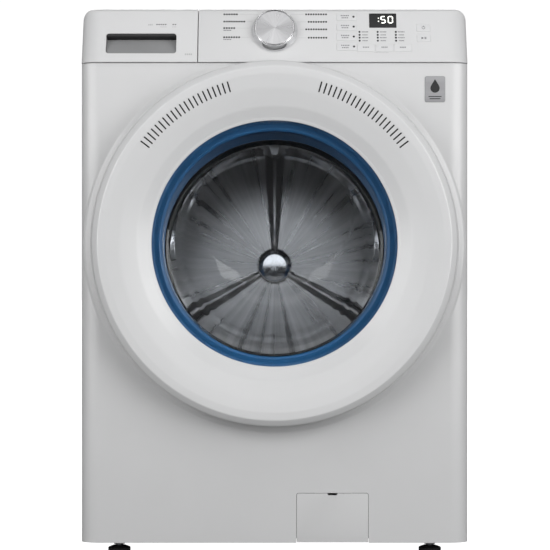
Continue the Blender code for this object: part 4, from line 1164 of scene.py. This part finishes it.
# ---------------------------------------------------------------- door
def make_door_ring():
    """The dished outer ring with a rounded crest and two groups of radial vents."""
    outline = rounded([
        (WINDOW_RADIUS + 0.0002, -0.3750, 0.0004), (WINDOW_RADIUS + 0.0002, -0.3785, 0.0012),
        (0.2290, -0.3805, 0.006), (0.2480, -0.3905, 0.040), (0.2800, -0.4008, 0.080),
        (0.3050, -0.4056, 0.030), (0.3185, -0.4065, 0.0045), (DOOR_RADIUS, -0.3975, 0.0060),
        (DOOR_RADIUS, -0.3545, 0.0012), (DOOR_RADIUS - 0.0026, -0.3545, 0.0006),
        (DOOR_RADIUS - 0.0026, -0.3960, 0.0040), (0.3170, -0.4035, 0.004),
        (0.2790, -0.3975, 0.060), (0.2475, -0.3872, 0.030), (0.2295, -0.3770, 0.004),
    ], 6)
    ring = loose("door_face_ring", lathe(outline, 192), DOOR_PAINT)
    slots = []
    for side in (-1, 1):
        for index in range(21):
            angle = math.radians(16.3 + 36.3 * index / 20) * side
            slot = prism(rounded_rectangle(0.0, 0.293, 0.0026, 0.0200, 0.0012, 3), "XZ", -0.415,
                         -0.385)
            slots.append(moved(slot, Matrix.Rotation(angle, 4, "Y")))
    combine(ring, [loose("tool", join(slots))])
    stand(ring, "door", DOOR, ["door_outer_ring"])
    duct = rounded([(0.2790, -0.3920, 0.0), (0.3070, -0.3960, 0.0), (0.3070, -0.3945, 0.0),
                    (0.2790, -0.3905, 0.0)])
    piece("door_vent_felt", lathe(duct, 96), BLACK_PRINT_AND_SHADOW, "door", DOOR)


def make_door_back():
    """The grey inner frame of the door, its screws, and the cut-out around the hinge."""
    outline = rounded([
        (0.2292, -0.3702, 0.0005), (0.2330, -0.3702, 0.0008), (0.2330, -0.3555, 0.0015),
        (0.3262, -0.3555, 0.0005), (0.3262, -0.3525, 0.0010), (0.2760, -0.3525, 0.002),
        (0.2740, -0.3535, 0.002), (0.2560, -0.3535, 0.002), (0.2540, -0.3525, 0.002),
        (0.2292, -0.3525, 0.0010),
    ], 4)
    back = loose("door_back_ring", lathe(outline, 160), GREY)
    window = block((-0.345, -0.360, -0.062), (-0.258, -0.345, 0.062))
    combine(back, [loose("tool", window)])
    stand(back, "door", DOOR, ["door_inner_ring"])
    screws = []
    for index in range(10):
        angle = math.radians(36 * index + 18)
        spot = Matrix.Translation((0.3130 * math.sin(angle), -0.3526, 0.3130 * math.cos(angle)))
        screws.append(moved(screw_head(0.0040), spot))
    piece("door_screws", join(screws), STEEL, "door", DOOR)


# The dome behind the window: (radius, depth) points from its middle to its rim.
BOWL_PROFILE = [
    (0.0, 0.130), (0.070, 0.124), (0.110, 0.110), (0.140, 0.085), (0.160, 0.055), (0.170, 0.036),
    (0.176, 0.030), (0.181, 0.022), (0.184, 0.016), (0.190, 0.009), (0.196, 0.005),
    (0.199, 0.003), (0.2022, 0.0004), (0.2034, 0.0), (0.2225, 0.0),
]
BOWL_LIP_RADIUS = 0.200
BOWL_SLOPE = 0.55
BOWL_SLANT_DEPTH = 0.125
BOWL_SLANT_START = -0.054
BOWL_SHELF_RADIUS = 0.172
BOWL_SHELF_DEPTH = 0.0340


def dome_slope(index):
    """The slope of the dome at one of its profile's points."""
    if index == 0:
        return 0.0
    before = BOWL_PROFILE[index - 1]
    after = BOWL_PROFILE[min(index + 1, len(BOWL_PROFILE) - 1)]
    return (after[1] - before[1]) / (after[0] - before[0])


def dome_depth(radius):
    """The depth of the whole dome at a radius: a smooth curve through its profile, with
    straight runs past the lip."""
    index = 0
    while index < len(BOWL_PROFILE) - 2 and radius > BOWL_PROFILE[index + 1][0]:
        index += 1
    inner, deep = BOWL_PROFILE[index]
    outer, shallow = BOWL_PROFILE[index + 1]
    if inner > BOWL_LIP_RADIUS:
        return deep + (shallow - deep) * (radius - inner) / (outer - inner)
    part = (radius - inner) / (outer - inner)
    rise = part * part * (3 - 2 * part)
    leave = part * (1 - part) ** 2 * dome_slope(index)
    reach = part * part * (part - 1) * dome_slope(index + 1)
    return deep + (shallow - deep) * rise + (outer - inner) * (leave + reach)


def bowl_depth(radius, height):
    """How deep the bowl is at a radius and a height above its middle: a dome cut off by a
    slanted flat, but never shallower than a shelf."""
    dome = dome_depth(radius)
    if radius > BOWL_SHELF_RADIUS:
        return dome
    slant = BOWL_SLANT_DEPTH - BOWL_SLOPE * (height - BOWL_SLANT_START)
    return -softer(-softer(dome, slant), -BOWL_SHELF_DEPTH)


def softer(first, second, blend=0.0018):
    """The smaller of two depths, with the crease between them rounded."""
    share = min(1.0, max(0.0, 0.5 + 0.5 * (second - first) / blend))
    return second * (1 - share) + first * share - blend * share * (1 - share)


def make_glass():
    """The glass: a clear rim, a stepped shoulder and the bowl with its slanted flat."""
    rings_at = []
    for (inner, _), (outer, _) in zip(BOWL_PROFILE, BOWL_PROFILE[1:]):
        steps = max(2, round((outer - inner) / 0.0025))
        rings_at += [inner + (outer - inner) * step / steps for step in range(steps)]
    rings_at.append(BOWL_PROFILE[-1][0])
    segments = 192
    mesh = bmesh.new()
    layers = []
    for wall in (0.0, GLASS_WALL):
        rings = []
        for radius in rings_at:
            ring = []
            for step in range(segments if radius > 0 else 1):
                angle = 2 * math.pi * step / segments
                across, up = radius * math.sin(angle), radius * math.cos(angle)
                depth = bowl_depth(radius, up)
                if wall:
                    depth += wall
                ring.append(mesh.verts.new((across, GLASS_FRONT_Y + depth, up)))
            rings.append(ring)
        layers.append(rings)
    front, rear = layers
    skin(mesh, front + rear[::-1])
    piece("glass_bowl", mesh, GLASS, "door", DOOR, ["door_glass"], 40)


def make_gasket():
    """The rubber boot: a blue bead around the opening and darker folds back to the tub."""
    bead = [
        (0.2412, -0.0048, 0.002), (0.2412, 0.0085, 0.002), (0.2330, 0.0120, 0.002),
        (0.2290, 0.0090, 0.003), (0.2190, 0.0060, 0.003), (0.2140, 0.0078, 0.002),
        (0.2078, 0.0050, 0.002), (0.2066, -0.0020, 0.002), (0.2110, -0.0050, 0.002),
        (0.2200, -0.0028, 0.006), (0.2290, -0.0050, 0.004),
    ]
    boot = [
        (0.2330, 0.0124, 0.0), (0.2360, 0.0130, 0.001), (0.2360, 0.0280, 0.004),
        (0.2262, 0.0440, 0.004), (0.2262, 0.0720, 0.002), (0.2060, 0.0780, 0.001),
        (0.2060, 0.0735, 0.001), (0.2215, 0.0670, 0.002), (0.2215, 0.0440, 0.004),
        (0.2310, 0.0260, 0.004), (0.2310, 0.0140, 0.001),
    ]
    for name, corners, finish in (("gasket_blue_bead", bead, BLUE), ("gasket_boot", boot, BOOT)):
        mesh = bmesh.new()
        rings = []
        for radius, along in rounded(corners, 5):
            lean = ease((along - 0.014) / 0.050)
            turn = Matrix.Rotation(-DRUM_TILT * lean, 4, "X")
            ring = []
            for step in range(144):
                angle = 2 * math.pi * step / 144
                spot = Vector((radius * math.sin(angle), along, radius * math.cos(angle)))
                ring.append(mesh.verts.new(turn @ spot))
            rings.append(ring)
        skin(mesh, rings)
        made = loose(name, moved(mesh, Matrix.Translation((0.0, FRONT_Y, DOOR_CENTRE_Z))), finish)
        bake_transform(made)
        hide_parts("boot_gasket")


# ---------------------------------------------------------------- drum
# The turns at which the rear wall has its ridges and the drum its lifters.
RIB_ANGLES = [math.radians(120 * index) for index in range(3)]


def make_drum_wall():
    """The basket's side wall with its rows of oval perforations, and its rolled mouth."""
    inner = DRUM_RADIUS
    start, end = DRUM_MOUTH + 0.020, DRUM_REAR - 0.020
    columns, rows = 112, 14
    pitch_turn = 2 * math.pi / columns
    pitch_along = (end - start) / rows
    hole_across, hole_along = 0.0021, 0.0058
    mesh = bmesh.new()
    sides = 8

    def spot(turn, along, radius):
        return (radius * math.sin(turn), along, radius * math.cos(turn))

    def quad_patch(turn, along):
        """One cell of the wall with a hole through it, inside and outside skins."""
        half_turn, half_along = pitch_turn / 2, pitch_along / 2
        loops = []
        for radius in (inner, inner + 0.0012):
            frame_points = []
            hole_points = []
            for side in range(sides):
                angle = 2 * math.pi * (side + 0.5) / sides
                reach = max(abs(math.cos(angle)), abs(math.sin(angle)))
                square = (math.cos(angle) / reach, math.sin(angle) / reach)
                frame_points.append(spot(turn + square[0] * half_turn,
                                         along + square[1] * half_along, radius))
                hole_points.append(spot(turn + math.cos(angle) * hole_across / inner,
                                        along + math.sin(angle) * hole_along, radius))
            loops.append((frame_points, hole_points))
        return loops

    known = {}

    def vert(point):
        key = tuple(round(part, 6) for part in point)
        if key not in known:
            known[key] = mesh.verts.new(point)
        return known[key]

    for column in range(columns):
        for row in range(rows):
            turn = (column + 0.5) * pitch_turn
            along = start + (row + 0.5) * pitch_along
            rims = []
            for frame_points, hole_points in quad_patch(turn, along):
                outer = [vert(point) for point in frame_points]
                rim = [vert(point) for point in hole_points]
                skin(mesh, [outer, rim], along=False)
                rims.append(rim)
            skin(mesh, rims, along=False)
    for near in (start, end):
        edge = [entry for entry in mesh.verts if abs(entry.co.y - near) < 1e-6]
        edge.sort(key=lambda entry: (round(math.hypot(entry.co.x, entry.co.z), 5),
                                     math.atan2(entry.co.x, entry.co.z)))
        half = len(edge) // 2
        skin(mesh, [edge[:half], edge[half:]], along=False)
    piece("drum_perforated_wall", mesh, DRUM_STEEL, "drum", DRUM, ["drum_shell"], 30)

    # The rolled mouth takes the near-black steel: painted shade, not the steel's own colour.
    mouth = rounded([
        (0.2030, DRUM_MOUTH + 0.0005, 0.001), (0.1998, DRUM_MOUTH, 0.001),
        (0.2058, DRUM_MOUTH - 0.0050, 0.003), (inner - 0.006, DRUM_MOUTH + 0.0040, 0.006),
        (inner + 0.0014, DRUM_MOUTH + 0.0160, 0.004), (inner + 0.0014, start + 0.0004, 0.0),
        (inner + 0.0001, start + 0.0004, 0.0), (inner + 0.0001, DRUM_MOUTH + 0.0168, 0.004),
        (inner - 0.0070, DRUM_MOUTH + 0.0056, 0.006), (0.2060, DRUM_MOUTH - 0.0030, 0.002),
    ], 5)
    piece("drum_rolled_mouth", lathe(mouth, 192), SHADED_MOUTH_STEEL, "drum", DRUM)


def rear_wall_depth(radius, turn):
    """How far the rear wall stands forward of its plane: a rounded rim and three ridges."""
    corner = 0.014
    reach = max(0.0, radius - (DRUM_RADIUS - corner))
    forward = 0.002 + corner - math.sqrt(corner ** 2 - min(reach, corner * 0.999) ** 2)
    for rib in RIB_ANGLES:
        swing = (turn - rib + math.pi) % (2 * math.pi) - math.pi
        if abs(swing) > math.pi / 2:
            continue
        aside = abs(radius * math.sin(swing))
        ahead = radius * math.cos(swing)
        half_width = 0.0035 + 0.0155 * min(1.0, max(0.0, (ahead - 0.030) / 0.200))
        rise = 0.019 * ease((ahead - 0.020) / 0.060)
        crest = 0.0025
        share = 1.0 - min(1.0, max(0.0, (aside - crest) / half_width))
        forward += rise * share
    return forward


def make_drum_rear():
    """The basket's rear wall: brushed, dished at its rim, with three creased ridges."""
    mesh = bmesh.new()
    segments = 360
    radii = [0.0, 0.012, 0.024, 0.034] + [0.034 + 0.2105 * (step + 1) / 44 for step in range(44)]
    layers = []
    for wall in (0.0, 0.0012):
        rings = []
        for radius in radii:
            ring = []
            for step in range(segments if radius > 0 else 1):
                turn = 2 * math.pi * step / segments
                along = DRUM_REAR - 0.0005 - rear_wall_depth(radius, turn) + wall
                ring.append(mesh.verts.new((radius * math.sin(turn), along,
                                            radius * math.cos(turn))))
            rings.append(ring)
        layers.append(rings)
    skin(mesh, layers[0] + layers[1][::-1])
    piece("drum_rear_wall", mesh, REAR_STEEL, "drum", DRUM, sharp=24)
    cap = rounded([
        (0.0, DRUM_REAR - 0.0245, 0.0), (0.0120, DRUM_REAR - 0.0242, 0.030),
        (0.0240, DRUM_REAR - 0.0231, 0.030), (0.0352, DRUM_REAR - 0.0210, 0.002),
        (0.0370, DRUM_REAR - 0.0185, 0.0015), (0.0374, DRUM_REAR - 0.0060, 0.001),
        (0.0374, DRUM_REAR - 0.0030, 0.0), (0.0, DRUM_REAR - 0.0030, 0.0),
    ], 8)
    piece("hub_dome", lathe(cap, 96), CHROME, "drum", DRUM, ["hub_cap"])


def make_lifters():
    """Three paddles with rounded crests, which get lower towards the drum's rear wall."""
    base = math.sqrt((DRUM_RADIUS * math.cos(math.pi / 32) - 0.0003) ** 2 - 0.030 ** 2)
    corners = [
        (-0.0300, base, 0.001), (0.0300, base, 0.001), (0.0130, base - 0.032, 0.012),
        (0.0055, base - 0.054, 0.004), (-0.0055, base - 0.054, 0.004),
        (-0.0130, base - 0.032, 0.012),
    ]
    outline = rounded(corners, 6)
    start, end = DRUM_MOUTH + 0.030, DRUM_REAR - 0.030
    for index, angle in enumerate(RIB_ANGLES):
        mesh = bmesh.new()
        rings = []
        for step in range(9):
            along = start + (end - start) * step / 8
            share = 1.0 - 0.75 * step / 8
            ring = [mesh.verts.new((across, along, base + (up - base) * share))
                    for across, up in outline]
            rings.append(ring)
        skin(mesh, rings, along=False)
        mesh.faces.new(rings[0][::-1])
        mesh.faces.new(rings[-1])
        moved(mesh, Matrix.Rotation(angle, 4, "Y"))
        piece(f"drum_paddle_{index + 1}", mesh, DRUM_STEEL, "drum", DRUM,
              [f"drum_lifter_{index + 1}"])


def make_springs():
    """Round-wire suspension springs with closed ends."""
    for side in ("left", "right"):
        low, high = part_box(f"suspension_spring_{side}")
        centre = Vector(((low.x + high.x) / 2, (low.y + high.y) / 2, 0.0))
        wire = 0.0022
        turns = 8
        path = []
        for step in range(turns * 20 + 1):
            part = step / (turns * 20)
            angle = 2 * math.pi * turns * part
            rise = low.z + wire + (high.z - low.z - 2 * wire) * part
            path.append(centre + Vector((0.016 * math.cos(angle), 0.016 * math.sin(angle), rise)))
        made = loose(f"hanging_spring_{side}", tube(path, wire), STEEL)
        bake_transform(made)
        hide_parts(f"suspension_spring_{side}")


# ---------------------------------------------------------------- carried-over CAD nodes
# The material of each CAD node that no piece stands for.
CAD_FINISHES = {
    "base_frame": DARK, "control_board": BOARD, "dispenser_housing": WHITE,
    "water_inlet_valve": WHITE, "power_cord_gland": RUBBER, "door_lock": DARK,
    "door_hinge_bracket": STEEL, "door_hinge_leaf": STEEL, "door_strike": CHROME,
    "drain_pump": WHITE, "damper_cylinder_left": DARK, "damper_cylinder_right": DARK,
    "outer_tub_front": TUB_GREY, "outer_tub_rear": TUB_GREY, "front_counterweight": IRON,
    "drive_motor": ALUMINIUM, "shaft_bearing": STEEL, "damper_rod_left": STEEL,
    "damper_rod_right": STEEL, "drive_belt": RUBBER, "drum_spider": ALUMINIUM,
    "drum_pulley": ALUMINIUM, "motor_pulley": STEEL,
}


def finish_cad_nodes():
    """Give each CAD node that stays its procedural material."""
    for name, finish in CAD_FINISHES.items():
        node = NODES[name]
        node.data.materials.clear()
        node.data.materials.append(finish)


# ---------------------------------------------------------------- studio
CAMERA_HEIGHT = 0.517
CAMERA_DISTANCE = 3.0
VIEW_WIDTH = 1.008


def make_camera():
    """A level camera straight in front of the machine."""
    lens = 50.0
    sensor = lens * VIEW_WIDTH / CAMERA_DISTANCE
    data = bpy.data.cameras.new("camera")
    data.lens = lens
    data.sensor_width = sensor
    data.clip_end = 50.0
    made = bpy.data.objects.new("camera", data)
    made.location = (0.0008, FRONT_Y - CAMERA_DISTANCE, CAMERA_HEIGHT)
    made.rotation_euler = (math.pi / 2, 0.0, 0.0)
    bpy.context.scene.collection.objects.link(made)
    bpy.context.scene.camera = made


def make_floor():
    """A pale floor that stays near white to the eye and darkens where the machine stands."""
    mesh = bmesh.new()
    bmesh.ops.create_grid(mesh, x_segments=1, y_segments=1, size=30.0)
    floor = loose("studio_floor", mesh)
    made = Finish("studio_floor_paint", (0.22, 0.22, 0.22), 0.9)
    made.tint(made.span(made.noise(3.0), 0.0, 1.0), 0.01)
    glow = made.tree.nodes.new("ShaderNodeEmission")
    glow.inputs["Strength"].default_value = 1.15
    path = made.tree.nodes.new("ShaderNodeLightPath")
    mix = made.tree.nodes.new("ShaderNodeMixShader")
    made.tree.links.new(path.outputs["Is Camera Ray"], mix.inputs[0])
    made.tree.links.new(made.shader.outputs[0], mix.inputs[1])
    both = made.tree.nodes.new("ShaderNodeAddShader")
    made.tree.links.new(glow.outputs[0], both.inputs[0])
    made.tree.links.new(made.shader.outputs[0], both.inputs[1])
    made.tree.links.new(both.outputs[0], mix.inputs[2])
    made.tree.links.new(mix.outputs[0], made.tree.nodes["Material Output"].inputs["Surface"])
    floor.data.materials.append(made.material)


def area_light(name, place, target, size, power):
    """A rectangular softbox that faces a point."""
    data = bpy.data.lights.new(name, "AREA")
    data.shape = "RECTANGLE"
    data.size, data.size_y = size
    data.energy = power
    made = bpy.data.objects.new(name, data)
    made.location = place
    away = Vector(place) - Vector(target)
    made.rotation_euler = away.to_track_quat("Z", "Y").to_euler()
    bpy.context.scene.collection.objects.link(made)
    return made


def make_lights():
    """Pale surroundings, softboxes all round the machine, and a faint lamp in the drum."""
    world = bpy.data.worlds.new("studio")
    bpy.context.scene.world = world
    world.use_nodes = True
    tree = world.node_tree
    background = tree.nodes["Background"]
    background.inputs["Color"].default_value = (1.0, 1.0, 1.0, 1.0)
    background.inputs["Strength"].default_value = 0.06
    seen = tree.nodes.new("ShaderNodeBackground")
    seen.inputs["Strength"].default_value = 1.3
    path = tree.nodes.new("ShaderNodeLightPath")
    mix = tree.nodes.new("ShaderNodeMixShader")
    tree.links.new(path.outputs["Is Camera Ray"], mix.inputs[0])
    tree.links.new(background.outputs[0], mix.inputs[1])
    tree.links.new(seen.outputs[0], mix.inputs[2])
    tree.links.new(mix.outputs[0], tree.nodes["World Output"].inputs["Surface"])
    area_light("softbox_left", (-2.1, -2.45, 1.25), (0.0, -0.35, 0.65), (1.9, 2.0), 45.0)
    area_light("softbox_right", (2.1, -2.45, 1.25), (0.0, -0.35, 0.65), (1.9, 2.0), 58.0)
    area_light("softbox_above", (0.0, -1.3, 2.0), (0.0, -0.35, 0.80), (1.8, 0.6), 5.0)
    area_light("softbox_front", (0.0, -3.2, 1.55), (0.0, 0.1, 0.55), (2.4, 1.0), 12.0)
    inside = area_light("drum_lamp", (0.0, -0.175, 0.352), (0.0, 0.05, 0.80), (0.30, 0.03), 0.03)
    inside.visible_camera = False
    area_light("softbox_behind", (0.0, 2.4, 2.2), (0.0, 0.3, 0.6), (2.2, 1.2), 45.0)


def build():
    """Make every piece, then the studio."""
    make_front_panel()
    make_side_panels()
    make_rear_panel()
    make_top_panel()
    make_hatch()
    make_filter()
    make_feet()
    make_console()
    make_keys()
    make_console_print()
    make_display()
    make_knob()
    make_drawer()
    make_badge()
    make_door_ring()
    make_door_back()
    make_glass()
    make_gasket()
    make_drum_wall()
    make_drum_rear()
    make_lifters()
    make_springs()
    finish_cad_nodes()
    make_floor()
    make_camera()
    make_lights()
    bpy.context.scene.view_settings.view_transform = "Standard"


build()
